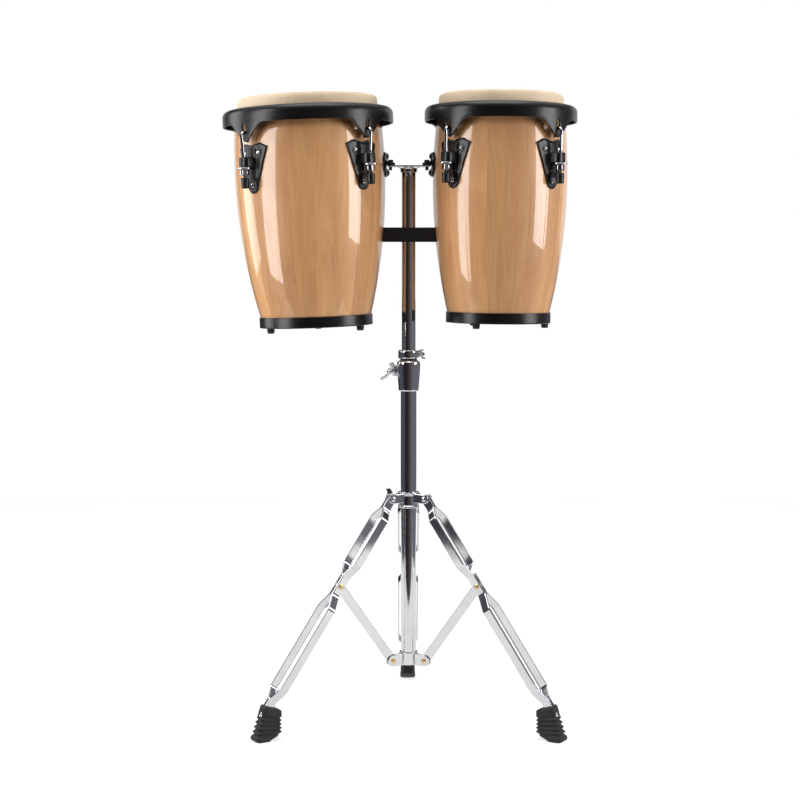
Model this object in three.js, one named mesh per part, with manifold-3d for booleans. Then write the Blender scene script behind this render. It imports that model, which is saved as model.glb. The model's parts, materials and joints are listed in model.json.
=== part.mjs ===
// A pair of conga drums on a height-adjustable tripod stand.
// Units are millimetres and +Z is up. The stand is modelled round its tube, and the whole
// object is then moved so that the middle of its box, on the floor, is the origin.
// Every physical piece is its own mesh; pieces that touch keep a gap of about 0.3 mm.

import * as THREE from 'three';
import { mergeVertices } from 'three/addons/utils/BufferGeometryUtils.js';
import Module from 'manifold-3d';

const wasm = await Module();
wasm.setup();

// ---------------------------------------------------------------- driving dimensions

const GAP = 0.3;                   // clearance between two pieces that touch
const DEG = Math.PI / 180;
const ROUND = 32;                  // sides of the large turned pieces
const SMALL_ROUND = 12;            // sides of tubes, nuts and bolts

const DRUMS = [
  {
    side: 'left', x: -149.1, z: 645.7, lean: -2.1, yaw: 0.8,
    headRadius: 112, rimRadius: 136.5, bellyRadius: 120.4, bellyHeight: 252, headTop: 364.3,
    bracketAzimuth: 0, ledge: [-37.2, -21.8], screw: -29.2, footAzimuths: [90, 210, 330],
  },
  {
    side: 'right', x: 144.5, z: 651.3, lean: 0.5, yaw: -0.5,
    headRadius: 99.7, rimRadius: 122, bellyRadius: 107.8, bellyHeight: 229.5, headTop: 363.8,
    bracketAzimuth: 180, ledge: [21.8, 38], screw: 29.2, footAzimuths: [0, 120, 240],
  },
];
const STAVE_CURVE = 900;           // radius of the arc that a stave bulges along
const SHELL_WALL = 11;
const SKIN = 1.5;                  // thickness of the drumhead
const RIM_WALL = 3;
const RIM_DROP = 19;               // head top down to the rim's rolled top
const RIM_BASE = 44;               // head top down to the rim's lower edge
const EAR_TIP = 73;                // head top down to the tip of a rim ear
const EAR_HALF_WIDTH = 46;
const EAR_BEND = 6.5;              // how far an ear's tip is bent in toward the shell
const HOOP_DROP = 33;              // head top down to the flesh hoop inside the head's edge
const HOOP_HEIGHT = 7;
const HOOK_HOLE = { top: 45, bottom: 61.3, radius: 3.6 };
const HOOK_ARC = { drop: 64.5, bend: 6.9, inside: 4.6 };
const LUG_TOP = 74.6;              // head top down to the lug plate's upper edge
const LUG_HEIGHT = 77.4;
const LUG_STEEL = 3;
const SADDLE = { top: 96.3, bottom: 112, halfWidth: 10, front: 5.5 };
const ROD_STAND_OFF = 17.5;        // tension rod's axis outside the belly
const WIRE_RADIUS = 2.5;
const WIRE_END = 134;              // head top down to the end of the tension rod
const CAP = { radius: 6.5, top: 127, bottom: 144.3 };
const NUT = { washerRadius: 11.3, washer: 2.4, radius: 6.8, height: 12.2 };
const LUG_AZIMUTHS = [45, 135, 225, 315];
const RING_HEIGHT = 17.5;
const RING_FLOOR = 3;              // a bottom ring's flange under the staves
const BRACKET = { z: 905, halfHeight: 19.5, halfWidth: 26, ledge: 4, ledgeHalfDepth: 13 };

const BASE_TUBE = { radius: 12.7, bore: 11.7, bottom: 92.6, top: 566 };
const UPPER_TUBE = { radius: 11.1, bore: 9.6, bottom: 300, top: 898 };
const CROSSBAR = { bottom: 900.6, thickness: 2.3, left: -33.6, right: 34.6, halfDepth: 15 };
const SPACER = { bottom: 781, top: 804, halfDepth: 17 };
const LEG_AZIMUTHS = { right: -30, rear: 90, left: 210 };
const LEG_PIVOT = { r: 32.5, z: 366 };
const LEG_SLOPE = 54.6;            // degrees below the horizontal
const LEG_MID = 165;               // top pivot to the brace rivet, along the leg
const LEG_END = 404;               // top pivot to the strap's end inside the boot
const HUB_PIVOT = { r: 31, z: 99 };
const STRAP = { width: 14.5, thickness: 3, pinched: 4.8, spread: 18 };
const BRACE = { width: 15, thickness: 3 };
const RIVET_RADIUS = 2.8;
// Half-spacing of a leg's two straps, as [distance along the leg, outer face].
const STRAP_STATIONS = [
  [-STRAP.width / 2, STRAP.pinched], [20, STRAP.pinched], [37, STRAP.spread], [125, STRAP.spread],
  [146, STRAP.pinched], [181, STRAP.pinched], [205, STRAP.spread], [353, STRAP.spread],
  [373, STRAP.pinched], [LEG_END, STRAP.pinched],
];
const CLAMP = { bottom: 540.5, top: 590, seat: 14.2, azimuth: 135 };
const CLAMP_EARS = { reach: 27, boltX: 27, boltZ: 572, earRadius: 9, slit: 1.6, ear: 4.6 };
const LOCK = { bottom: 593.4, top: 606.6, azimuth: 45, hingeX: -13.2, hingeRadius: 3.6 };
const LOCK_EARS = { reach: 19, boltX: 19, boltZ: 600, earRadius: 6, slit: 1.4, ear: 4 };
const COLLAR = { bottom: 350, top: 375.5, screwAzimuth: 150, screwR: 27, screwZ: 363 };

// ---------------------------------------------------------------- materials

function finish(color, roughness, metalness) {
  return new THREE.MeshStandardMaterial({ color, roughness, metalness });
}

const WOOD = finish(0xd3a770, 0.2, 0);
const HIDE = finish(0xe6d6b4, 0.6, 0);
const BLACK_STEEL = finish(0x1c1c1e, 0.45, 0.3);
const CHROME = finish(0xc9c9cc, 0.12, 1);
const RUBBER = finish(0x242424, 0.8, 0);
const NYLON = finish(0x151515, 0.5, 0);

// ---------------------------------------------------------------- shape helpers

// Solids are joined and cut as closed meshes of merged vertices.
function toSolid(geometry) {
  const bare = geometry.clone();
  for (const name of Object.keys(bare.attributes)) {
    if (name !== 'position') bare.deleteAttribute(name);
  }
  const merged = mergeVertices(bare, 1e-4);
  const index = merged.index.array;
  const triangles = [];
  for (let i = 0; i < index.length; i += 3) {
    const [a, b, c] = [index[i], index[i + 1], index[i + 2]];
    if (a !== b && b !== c && c !== a) triangles.push(a, b, c);
  }
  return new wasm.Manifold(new wasm.Mesh({
    numProp: 3,
    vertProperties: new Float32Array(merged.attributes.position.array),
    triVerts: new Uint32Array(triangles),
  }));
}

function toGeometry(solid) {
  const { vertProperties, triVerts } = solid.getMesh();
  const geometry = new THREE.BufferGeometry();
  geometry.setAttribute('position', new THREE.BufferAttribute(new Float32Array(vertProperties), 3));
  geometry.setIndex(new THREE.BufferAttribute(new Uint32Array(triVerts), 1));
  geometry.computeVertexNormals();
  return geometry;
}

function join(...geometries) {
  return toGeometry(geometries.map(toSolid).reduce((sum, next) => sum.add(next)));
}

function cut(body, ...tools) {
  return toGeometry(tools.map(toSolid).reduce((rest, tool) => rest.subtract(tool), toSolid(body)));
}

function common(a, b) {
  return toGeometry(toSolid(a).intersect(toSolid(b)));
}

// A profile of [radius, height] points, counter-clockwise, turned round +Z.
function turned(profile, sides) {
  const points = profile.map(([r, z]) => new THREE.Vector2(r, z));
  return new THREE.LatheGeometry(points, sides).rotateX(Math.PI / 2);
}

function rod(radius, bottom, top, sides = SMALL_ROUND) {
  return turned([[0, bottom], [radius, bottom], [radius, top], [0, top]], sides);
}

function block(x0, x1, y0, y1, z0, z1) {
  const box = new THREE.BoxGeometry(x1 - x0, y1 - y0, z1 - z0);
  return box.translate((x0 + x1) / 2, (y0 + y1) / 2, (z0 + z1) / 2);
}

// A flat outline in X and Y, given thickness along +Z from the height it starts at.
function slab(shape, bottom, top, curveSegments = 4) {
  const options = { depth: top - bottom, bevelEnabled: false, curveSegments };
  return new THREE.ExtrudeGeometry(shape, options).translate(0, 0, bottom);
}

function polygon(points) {
  return new THREE.Shape(points.map(([x, y]) => new THREE.Vector2(x, y)));
}

// A strap outline with round ends, from x0 to x1 between the centres of its ends.
function stadium(x0, x1, radius) {
  const shape = new THREE.Shape();
  shape.absarc(x1, 0, radius, -Math.PI / 2, Math.PI / 2, false);
  shape.absarc(x0, 0, radius, Math.PI / 2, 1.5 * Math.PI, false);
  return shape;
}

// Turns an outline's X and Y to X and Z, so that its thickness lies along -Y.
function stood(geometry) {
  return geometry.rotateX(Math.PI / 2);
}

// Turns an outline's X, Y and thickness to tangential, up and outward at azimuth 0.
function facingOut(geometry) {
  const basis = new THREE.Matrix4().makeBasis(
    new THREE.Vector3(0, 1, 0),
    new THREE.Vector3(0, 0, 1),
    new THREE.Vector3(1, 0, 0),
  );
  return geometry.applyMatrix4(basis);
}

// A round bar along a smooth path of [x, z] points in the plane y = 0.
function wire(points, radius, steps, sides) {
  const stations = points.map(([x, z]) => new THREE.Vector3(x, 0, z));
  const path = new THREE.CatmullRomCurve3(stations, false, 'centripetal');
  const ring = [];
  for (let i = 0; i < sides; i += 1) {
    const angle = (2 * Math.PI * i) / sides;
    ring.push([radius * Math.cos(angle), radius * Math.sin(angle)]);
  }
  return new THREE.ExtrudeGeometry(polygon(ring), { steps, extrudePath: path, bevelEnabled: false });
}

// A wing screw along +Z: shank below zero, a hub above it and two wings that flare upward.
function wingScrew({ shank, shankRadius, hubRadius, hubHeight, span, rise, thickness }) {
  const wings = new THREE.Shape();
  wings.moveTo(0, 1);
  wings.quadraticCurveTo(span * 0.55, hubHeight * 0.35, span, rise * 0.6);
  wings.quadraticCurveTo(span * 1.02, rise, span * 0.78, rise);
  wings.quadraticCurveTo(hubRadius * 1.3, hubHeight * 1.05, 0, hubHeight - 1);
  wings.quadraticCurveTo(-hubRadius * 1.3, hubHeight * 1.05, -span * 0.78, rise);
  wings.quadraticCurveTo(-span * 1.02, rise, -span, rise * 0.6);
  wings.quadraticCurveTo(-span * 0.55, hubHeight * 0.35, 0, 1);
  const plate = stood(slab(wings, -thickness / 2, thickness / 2, 3));
  return join(rod(hubRadius, 0, hubHeight, 10), rod(shankRadius, -shank, 1, 8), plate);
}

function mesh(name, geometry, material) {
  const made = new THREE.Mesh(geometry, material);
  made.name = name;
  return made;
}

// ---------------------------------------------------------------- drums

function staveRadius(drum, height) {
  const rise = height - drum.bellyHeight;
  return drum.bellyRadius - (STAVE_CURVE - Math.sqrt(STAVE_CURVE ** 2 - rise ** 2));
}

// Points [radius, height] that follow the staves at a distance outside them.
function alongStaves(drum, from, to, steps, outside) {
  const points = [];
  for (let i = 0; i <= steps; i += 1) {
    const height = from + ((to - from) * i) / steps;
    points.push([staveRadius(drum, height) + outside, height]);
  }
  return points;
}

// A thin layer round the staves, from which hugging plates are cut.
function hugging(drum, bottom, top, inner, outer) {
  const profile = [
    ...alongStaves(drum, bottom, top, 2, outer),
    ...alongStaves(drum, top, bottom, 2, inner),
  ];
  profile.push(profile[0]);
  return turned(profile, ROUND);
}

function makeShell(drum) {
  const top = drum.headTop - SKIN - 2 * GAP;
  const shoulder = drum.headTop - 50;
  const neck = drum.headRadius - SKIN - GAP;
  const bottom = RING_FLOOR;
  const profile = [
    ...alongStaves(drum, bottom, shoulder, 7, 0),
    [neck, shoulder + 9],
    [neck, top - 6],
    [neck - 4, top],
    [neck - SHELL_WALL + 2, top],
    [neck - SHELL_WALL, top - 8],
    [neck - SHELL_WALL, shoulder],
    ...alongStaves(drum, shoulder - 60, bottom, 4, -SHELL_WALL),
  ];
  profile.push(profile[0]);
  return turned(profile, ROUND);
}

function makeHead(drum) {
  const top = drum.headTop;
  const inner = drum.headRadius - SKIN;
  const hoopTop = top - HOOP_DROP;
  const hoopBottom = hoopTop - HOOP_HEIGHT;
  const profile = [
    [0, top - SKIN], [inner - 4, top - SKIN], [inner, top - 6], [inner, hoopBottom],
    [drum.headRadius + 5, hoopBottom], [drum.headRadius + 5, hoopTop], [drum.headRadius, hoopTop],
    [drum.headRadius, top - 5], [drum.headRadius - 1.5, top - 1.5], [drum.headRadius - 5, top], [0, top],
  ];
  return turned(profile, ROUND);
}

function makeRim(drum) {
  const outer = drum.rimRadius;
  const inner = drum.headRadius + 1.3;
  const top = drum.headTop - RIM_DROP;
  const base = drum.headTop - RIM_BASE;
  const tip = drum.headTop - EAR_TIP;
  const hoopTop = drum.headTop - HOOP_DROP + GAP;
  const profile = [
    [outer - RIM_WALL, base], [outer, base], [outer, top - 10], [outer - 3, top - 3],
    [outer - 10, top], [inner + 3, top], [inner, top - 3], [inner, hoopTop],
    [inner + RIM_WALL, hoopTop], [inner + RIM_WALL, top - RIM_WALL],
    [outer - 10, top - RIM_WALL], [outer - RIM_WALL, top - 10], [outer - RIM_WALL, base],
  ];
  const channel = turned(profile, ROUND);
  const ear = new THREE.Shape();
  ear.moveTo(-EAR_HALF_WIDTH, base + 2);
  ear.quadraticCurveTo(-EAR_HALF_WIDTH + 12, base, -EAR_HALF_WIDTH + 20, base - 10);
  ear.lineTo(-9, tip + 4);
  ear.quadraticCurveTo(0, tip - 4, 9, tip + 4);
  ear.lineTo(EAR_HALF_WIDTH - 20, base - 10);
  ear.quadraticCurveTo(EAR_HALF_WIDTH - 12, base, EAR_HALF_WIDTH, base + 2);
  const skirt = turned([
    [outer - RIM_WALL - EAR_BEND, tip], [outer - EAR_BEND, tip], [outer, base], [outer, base + 4],
    [outer - RIM_WALL, base + 4], [outer - RIM_WALL, base], [outer - RIM_WALL - EAR_BEND, tip],
  ], ROUND);
  const { top: holeTop, bottom: holeBottom, radius: holeRadius } = HOOK_HOLE;
  const hookHole = stadium(0, holeBottom - holeTop - 2 * holeRadius, holeRadius);
  const holeBase = drum.headTop - holeBottom + holeRadius;
  const parts = [channel];
  const holes = [];
  for (const azimuth of LUG_AZIMUTHS) {
    const blank = facingOut(slab(ear, outer - 20, outer + 5, 2)).rotateZ(azimuth * DEG);
    parts.push(common(blank, skirt));
    const hole = slab(hookHole, outer - 12, outer + 4, 2).rotateZ(Math.PI / 2);
    holes.push(facingOut(hole.translate(0, holeBase, 0)).rotateZ(azimuth * DEG));
  }
  return cut(join(...parts), ...holes);
}

function makeBottomRing(drum) {
  const outer = staveRadius(drum, RING_HEIGHT) + 1.9;
  const inner = staveRadius(drum, 0) - SHELL_WALL - 1;
  const profile = [
    [inner, 0], [outer, 0], [outer, RING_HEIGHT], [outer - 1.5, RING_HEIGHT],
    [staveRadius(drum, RING_FLOOR) + GAP, RING_FLOOR - GAP], [inner, RING_FLOOR - GAP], [inner, 0],
  ];
  const feet = drum.footAzimuths.map((azimuth) => (
    rod(6, -8, 1, 8).translate(outer - 9, 0, 0).rotateZ(azimuth * DEG)
  ));
  return join(turned(profile, ROUND), ...feet);
}

function makeLug(drum) {
  const top = drum.headTop - LUG_TOP;
  const bottom = top - LUG_HEIGHT;
  const rodRadius = drum.bellyRadius + ROD_STAND_OFF;
  const outline = new THREE.Shape();
  outline.moveTo(-31, top - 8);
  outline.quadraticCurveTo(-27, top - 1, -22, top);
  outline.quadraticCurveTo(0, top - 12, 22, top);
  outline.quadraticCurveTo(27, top - 1, 31, top - 8);
  outline.lineTo(12, bottom + 10);
  outline.absarc(0, bottom + 11, 11, 0, -Math.PI, true);
  outline.lineTo(-31, top - 8);
  const blank = facingOut(slab(outline, drum.bellyRadius - 25, drum.bellyRadius + 12, 3));
  const plate = common(blank, hugging(drum, bottom - 3, top + 3, GAP, LUG_STEEL));
  const bossTop = drum.headTop - SADDLE.top;
  const bossBottom = drum.headTop - SADDLE.bottom;
  const half = SADDLE.halfWidth;
  const front = rodRadius + SADDLE.front;
  const boss = new THREE.Shape();
  boss.moveTo(drum.bellyRadius, -half);
  boss.lineTo(front - 5.5, -half);
  boss.quadraticCurveTo(front, 2 - half, front, 0);
  boss.quadraticCurveTo(front, half - 2, front - 5.5, half);
  boss.lineTo(drum.bellyRadius, half);
  const eye = rod(WIRE_RADIUS + 0.6, bossBottom - 2, bossTop + 2, 8).translate(rodRadius, 0, 0);
  const saddle = cut(slab(boss, bossBottom, bossTop, 2), eye);
  const shellSide = rod(drum.bellyRadius + 2, bossBottom - 5, bossTop + 5, ROUND);
  return join(plate, cut(saddle, shellSide), bossBridge(drum, bossBottom, bossTop));
}

// Joins the saddle to the plate where the staves fall away from the belly circle.
function bossBridge(drum, bottom, top) {
  const layer = hugging(drum, bottom, top, LUG_STEEL - 1, LUG_STEEL + 2);
  const half = SADDLE.halfWidth;
  return common(layer, block(drum.bellyRadius - 8, drum.bellyRadius + 12, -half, half, bottom, top));
}

function makeHook(drum) {
  const rodRadius = drum.bellyRadius + ROD_STAND_OFF;
  const top = drum.headTop;
  const centre = drum.rimRadius - HOOK_ARC.inside;
  const { bend } = HOOK_ARC;
  const arc = top - HOOK_ARC.drop;
  const points = [[centre - bend - 1.4, arc - 9], [centre - bend - 0.6, arc - 4], [centre - bend, arc]];
  for (const angle of [135, 90, 45, 0]) {
    points.push([centre + bend * Math.cos(angle * DEG), arc + bend * Math.sin(angle * DEG)]);
  }
  points.push([centre + bend, arc - 8], [rodRadius + 0.3, top - 88], [rodRadius, top - 94]);
  points.push([rodRadius, top - 112], [rodRadius, top - WIRE_END]);
  const cap = rod(CAP.radius, top - CAP.bottom, top - CAP.top, 8).translate(rodRadius, 0, 0);
  return join(wire(points, WIRE_RADIUS, 28, 6), cap);
}

function makeNut(drum) {
  const seat = drum.headTop - SADDLE.bottom - GAP;
  const washer = rod(NUT.washerRadius, seat - NUT.washer, seat, 12);
  const nut = rod(NUT.radius, seat - NUT.height, seat - NUT.washer + 0.4, 6);
  return cut(join(washer, nut), rod(WIRE_RADIUS + 0.55, seat - NUT.height - 2, seat + 2, 6));
}

// The bracket's plate hugs the shell; its ledge lies level on the crossbar.
function makeBracket(drum, frame) {
  const raised = drum.bellyRadius * Math.abs(Math.sin(drum.lean * DEG));
  const middle = BRACKET.z - drum.z - raised;
  const [high, wide] = [BRACKET.halfHeight, BRACKET.halfWidth];
  const outline = polygon([
    [6 - wide, middle - high], [wide - 6, middle - high], [wide, middle - high / 2],
    [wide, middle + high / 2], [wide - 6, middle + high], [6 - wide, middle + high],
    [-wide, middle + high / 2], [-wide, middle - high / 2],
  ]);
  const blank = facingOut(slab(outline, drum.bellyRadius - 20, drum.bellyRadius + 12));
  const layer = hugging(drum, middle - high - 1, middle + high + 1, GAP, LUG_STEEL);
  const plate = common(blank, layer).rotateZ(drum.bracketAzimuth * DEG);
  const bottom = CROSSBAR.bottom + CROSSBAR.thickness + GAP;
  const [from, to] = drum.ledge;
  const depth = BRACKET.ledgeHalfDepth;
  const ledge = block(from, to, -depth, depth, bottom, bottom + BRACKET.ledge);
  const hole = rod(3.2, bottom - 2, bottom + 6, 8).translate(drum.screw, 0, 0);
  const toDrum = frame.clone().invert();
  return join(plate, cut(ledge, hole).applyMatrix4(toDrum));
}

function makeDrum(drum) {
  const group = new THREE.Group();
  group.position.set(drum.x, 0, drum.z);
  group.rotation.set(0, drum.lean * DEG, drum.yaw * DEG);
  group.updateMatrix();
  group.add(mesh(`${drum.side}_shell`, makeShell(drum), WOOD));
  group.add(mesh(`${drum.side}_head`, makeHead(drum), HIDE));
  group.add(mesh(`${drum.side}_rim`, makeRim(drum), BLACK_STEEL));
  group.add(mesh(`${drum.side}_bottom_ring`, makeBottomRing(drum), BLACK_STEEL));
  group.add(mesh(`${drum.side}_bracket`, makeBracket(drum, group.matrix), BLACK_STEEL));
  const lug = makeLug(drum);
  const hook = makeHook(drum);
  const nut = makeNut(drum);
  LUG_AZIMUTHS.forEach((azimuth, i) => {
    const station = new THREE.Group();
    station.rotation.z = azimuth * DEG;
    station.add(mesh(`${drum.side}_lug_${i + 1}`, lug, BLACK_STEEL));
    station.add(mesh(`${drum.side}_hook_${i + 1}`, hook, CHROME));
    const turning = mesh(`${drum.side}_nut_${i + 1}`, nut, CHROME);
    turning.position.x = drum.bellyRadius + ROD_STAND_OFF;
    station.add(turning);
    group.add(station);
  });
  return group;
}

// The outer face of a shell with the usual gap, used to shape what rests against it.
function shellCutter(drum) {
  const profile = [[0, 100], ...alongStaves(drum, 100, 260, 8, GAP), [0, 260]];
  const lean = new THREE.Matrix4().makeRotationY(drum.lean * DEG);
  const yaw = new THREE.Matrix4().makeRotationZ(drum.yaw * DEG);
  const cutter = turned(profile, ROUND).applyMatrix4(lean.multiply(yaw));
  return cutter.translate(drum.x, 0, drum.z);
}

// ---------------------------------------------------------------- mast

function makeTube({ bore, radius, bottom, top }, sides) {
  return turned([[bore, bottom], [radius, bottom], [radius, top], [bore, top], [bore, bottom]], sides);
}

function makeCrossbar() {
  const { bottom, thickness, left, right, halfDepth } = CROSSBAR;
  const top = bottom + thickness;
  const plate = block(left, right, -halfDepth, halfDepth, bottom, top);
  const bore = UPPER_TUBE.radius + GAP;
  const ceiling = UPPER_TUBE.top + GAP;
  const socket = turned([
    [bore, bottom - 9], [bore + 1.6, bottom - 9], [bore + 2, bottom - 4], [bore + 4.5, bottom - 0.8],
    [bore + 4.5, bottom + 1], [0, bottom + 1], [0, ceiling], [bore, ceiling], [bore, bottom - 9],
  ], SMALL_ROUND);
  const holes = DRUMS.map((drum) => rod(3.2, bottom - 3, top + 3, 8).translate(drum.screw, 0, 0));
  return cut(join(plate, socket), ...holes);
}

function makeBracketScrew(drum) {
  const seat = CROSSBAR.bottom + CROSSBAR.thickness + BRACKET.ledge + 2 * GAP;
  const head = rod(4.8, seat, seat + 4.5, 6);
  const shank = rod(2.8, seat - 12, seat + 1, 8);
  return join(head, shank).translate(drum.screw, 0, 0);
}

function makeSpacer() {
  const { bottom, top, halfDepth } = SPACER;
  const outline = polygon([[-50, bottom], [56, bottom], [50, top], [-46, top]]);
  const bar = stood(slab(outline, -halfDepth, halfDepth));
  const bore = rod(UPPER_TUBE.radius + GAP, bottom - 2, top + 2);
  return cut(bar, bore, ...DRUMS.map(shellCutter));
}

// A split ring with two ears on +X, gripped by a screw along Y.
function splitRing(ring, bottom, top, { reach, boltX, boltZ, earRadius, slit, ear }) {
  const outline = stadium(0, reach, earRadius);
  const ears = [1, -1].map((side) => {
    const near = side * slit;
    const far = side * (slit + ear);
    const plate = stood(slab(outline, -Math.max(near, far), -Math.min(near, far), 3));
    const trimmed = common(plate, block(ring - 1.5, 80, -40, 40, -40, 40));
    return trimmed.translate(0, 0, boltZ);
  });
  const gap = block(ring - 6, ring + 3, -slit, slit, bottom - 1, top + 1);
  const hole = stood(rod(3.4, -20, 20, 8)).translate(boltX, 0, boltZ);
  return { ears, gap, hole };
}

function makeClamp() {
  const seat = BASE_TUBE.top + GAP;
  const body = turned([
    [BASE_TUBE.radius + GAP, CLAMP.bottom], [15.4, CLAMP.bottom], [16.2, CLAMP.bottom + 1.6],
    [18.8, CLAMP.top - 8], [18.6, CLAMP.top - 3], [17, CLAMP.top], [CLAMP.seat, CLAMP.top],
    [CLAMP.seat, seat], [BASE_TUBE.radius + GAP, seat], [BASE_TUBE.radius + GAP, CLAMP.bottom],
  ], 16);
  const { ears, gap, hole } = splitRing(16.5, CLAMP.bottom, CLAMP.top, CLAMP_EARS);
  return cut(join(body, ...ears), gap, hole).rotateZ(CLAMP.azimuth * DEG);
}

function makeBushing() {
  const bore = UPPER_TUBE.radius + GAP;
  const seat = BASE_TUBE.top + 2 * GAP;
  return turned([
    [bore, seat], [CLAMP.seat - GAP, seat], [CLAMP.seat - GAP, CLAMP.top + 2], [13, CLAMP.top + 2.8],
    [bore, CLAMP.top + 2.8], [bore, seat],
  ], 16);
}

function makeLock() {
  const bore = UPPER_TUBE.radius + GAP;
  const body = turned([
    [bore, LOCK.bottom], [14.4, LOCK.bottom], [15, LOCK.bottom + 1], [15, LOCK.top - 1],
    [14.4, LOCK.top], [bore, LOCK.top], [bore, LOCK.bottom],
  ], 16);
  const { ears, gap, hole } = splitRing(13.5, LOCK.bottom, LOCK.top, LOCK_EARS);
  const hinge = rod(LOCK.hingeRadius, LOCK.bottom, LOCK.top, 12).translate(LOCK.hingeX, 0, 0);
  const ring = cut(join(body, ...ears), gap, hole).rotateZ(LOCK.azimuth * DEG);
  return join(ring, cut(hinge, rod(12.5, LOCK.bottom - 1, LOCK.top + 1)));
}

// A wing screw across a split ring's ears, its wings on the +Y (side 1) or -Y (side -1) side.
function ringScrew({ boltX, boltZ, slit, ear }, azimuth, side, twist, sizes) {
  const screw = wingScrew({ ...sizes, shank: 2 * (slit + ear) + 4.5 });
  const group = new THREE.Group();
  group.rotation.z = azimuth * DEG;
  const seat = new THREE.Group();
  seat.position.set(boltX, side * (slit + ear + sizes.standOff), boltZ);
  seat.rotation.x = (-side * Math.PI) / 2;
  group.add(seat);
  const turning = new THREE.Group();
  turning.rotation.z = twist * DEG;
  seat.add(turning);
  return { group, place: (name) => turning.add(mesh(name, screw, CHROME)) };
}

// ---------------------------------------------------------------- tripod

// Outward lug plates round a ring, with the rivet that joins each pair.
function earPairs(pivot, earRadius, inner, near, far, root) {
  const plate = (from, to) => {
    const outline = stadium(0, pivot.r, earRadius);
    return stood(slab(outline, -to, -from, 3)).translate(0, 0, pivot.z);
  };
  const keep = block(root, 80, -30, 30, pivot.z - 30, pivot.z + 30);
  const pieces = [];
  for (const azimuth of Object.values(LEG_AZIMUTHS)) {
    for (const [from, to] of [[near, far], [-far, -near]]) {
      pieces.push(common(plate(from, to), keep).rotateZ(azimuth * DEG));
    }
    const pin = stood(rod(RIVET_RADIUS, -far - 0.6, far + 0.6, 8)).translate(pivot.r, 0, pivot.z);
    pieces.push(pin.rotateZ(azimuth * DEG));
  }
  return pieces;
}

function makeCollar() {
  const bore = BASE_TUBE.radius + GAP;
  const { bottom, top } = COLLAR;
  const body = turned([
    [bore, bottom], [17.6, bottom], [17.6, bottom + 2.6], [15.2, bottom + 3.6], [15.2, top - 3.6],
    [17.6, top - 2.6], [17.6, top], [bore, top], [bore, bottom],
  ], 16);
  const ears = earPairs(LEG_PIVOT, 7.6, bore, STRAP.pinched + 0.4, STRAP.pinched + 2.9, 14);
  const boss = cut(towardScrew(rod(6, 14, 21, 8)), rod(bore + 1, bottom, top, 16));
  const screwHole = towardScrew(rod(3.3, 8, 25, 8));
  return cut(join(body, boss, ...ears), screwHole);
}

// Turns a piece along +Z to lie along the collar screw's line, out from the tube.
function towardScrew(geometry) {
  geometry.rotateY(Math.PI / 2).rotateZ(COLLAR.screwAzimuth * DEG);
  return geometry.translate(0, 0, COLLAR.screwZ);
}

function makeCollarScrew() {
  return wingScrew({
    shank: 13.5, shankRadius: 2.9, hubRadius: 5.2, hubHeight: 9, span: 21, rise: 15, thickness: 3,
  });
}

function makeHub() {
  const bore = BASE_TUBE.radius + GAP;
  const bottom = HUB_PIVOT.z - 9;
  const top = HUB_PIVOT.z + 12;
  const floor = BASE_TUBE.bottom - GAP;
  const body = turned([
    [0, bottom], [14, bottom], [15.2, bottom + 1.2], [15.2, top], [bore, top], [bore, floor], [0, floor],
  ], 16);
  const near = BRACE.thickness / 2 + 0.4;
  return join(body, ...earPairs(HUB_PIVOT, 9.6, bore, near, near + 2.5, 14));
}

function makeStrap(side) {
  const outer = STRAP_STATIONS.map(([s, t]) => [s, side * t]);
  const inner = STRAP_STATIONS.map(([s, t]) => [s, side * (t - STRAP.thickness)]).reverse();
  const bent = slab(polygon([...outer, ...inner]), -STRAP.width / 2, STRAP.width / 2);
  const rounding = stood(slab(stadium(0, LEG_END - STRAP.width / 2, STRAP.width / 2), -30, 30, 3));
  const pivotHole = stood(rod(RIVET_RADIUS + 0.6, -30, 30, 8));
  return cut(common(bent, rounding), pivotHole);
}

function legGroup(azimuth) {
  const group = new THREE.Group();
  group.rotation.z = azimuth * DEG;
  return group;
}

function legFrame() {
  const frame = new THREE.Group();
  frame.position.set(LEG_PIVOT.r, 0, LEG_PIVOT.z);
  frame.rotation.y = LEG_SLOPE * DEG;
  return frame;
}

function makeBrace(length) {
  const half = BRACE.thickness / 2;
  const plate = stood(slab(stadium(0, length, BRACE.width / 2), -half, half, 3));
  const holes = [0, length].map((x) => (
    stood(rod(RIVET_RADIUS + 0.6, -10, 10, 8)).translate(x, 0, 0)
  ));
  return cut(plate, ...holes);
}

// Rubber foot in the leg's upright plane: X is the distance from the tube, Z the height.
function makeBoot() {
  const side = polygon([
    [254, 0], [280, 0], [283, 2.5], [282.5, 7], [279, 20], [274, 34], [269, 44], [267.5, 55],
    [264, 58.5], [239, 52], [234.5, 48], [234, 38], [236, 26], [234.5, 15], [239, 6.5], [246, 2],
  ]);
  const front = polygon([[-13, 0], [13, 0], [14, 4], [11.5, 60], [-11.5, 60], [-14, 4]]);
  const flank = stood(slab(side, -20, 20));
  const taper = slab(front, 225, 295);
  const body = common(flank, facingOut(taper));
  return cut(body, bootPocket());
}

// The room inside a boot for the ends of both straps, with the usual gap round them.
function bootPocket() {
  const outer = STRAP_STATIONS.filter(([s]) => s > 300).map(([s, t]) => [s, t + GAP]);
  outer[outer.length - 1][0] += GAP;
  const mirrored = outer.map(([s, t]) => [s, -t]);
  const half = STRAP.width / 2 + GAP;
  const pocket = slab(polygon([...mirrored, ...outer.reverse()]), -half, half);
  const frame = legFrame();
  frame.updateMatrix();
  return pocket.applyMatrix4(frame.matrix);
}

// ---------------------------------------------------------------- assembly

const conga = new THREE.Group();
const stand = new THREE.Group();
conga.add(stand);

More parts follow.
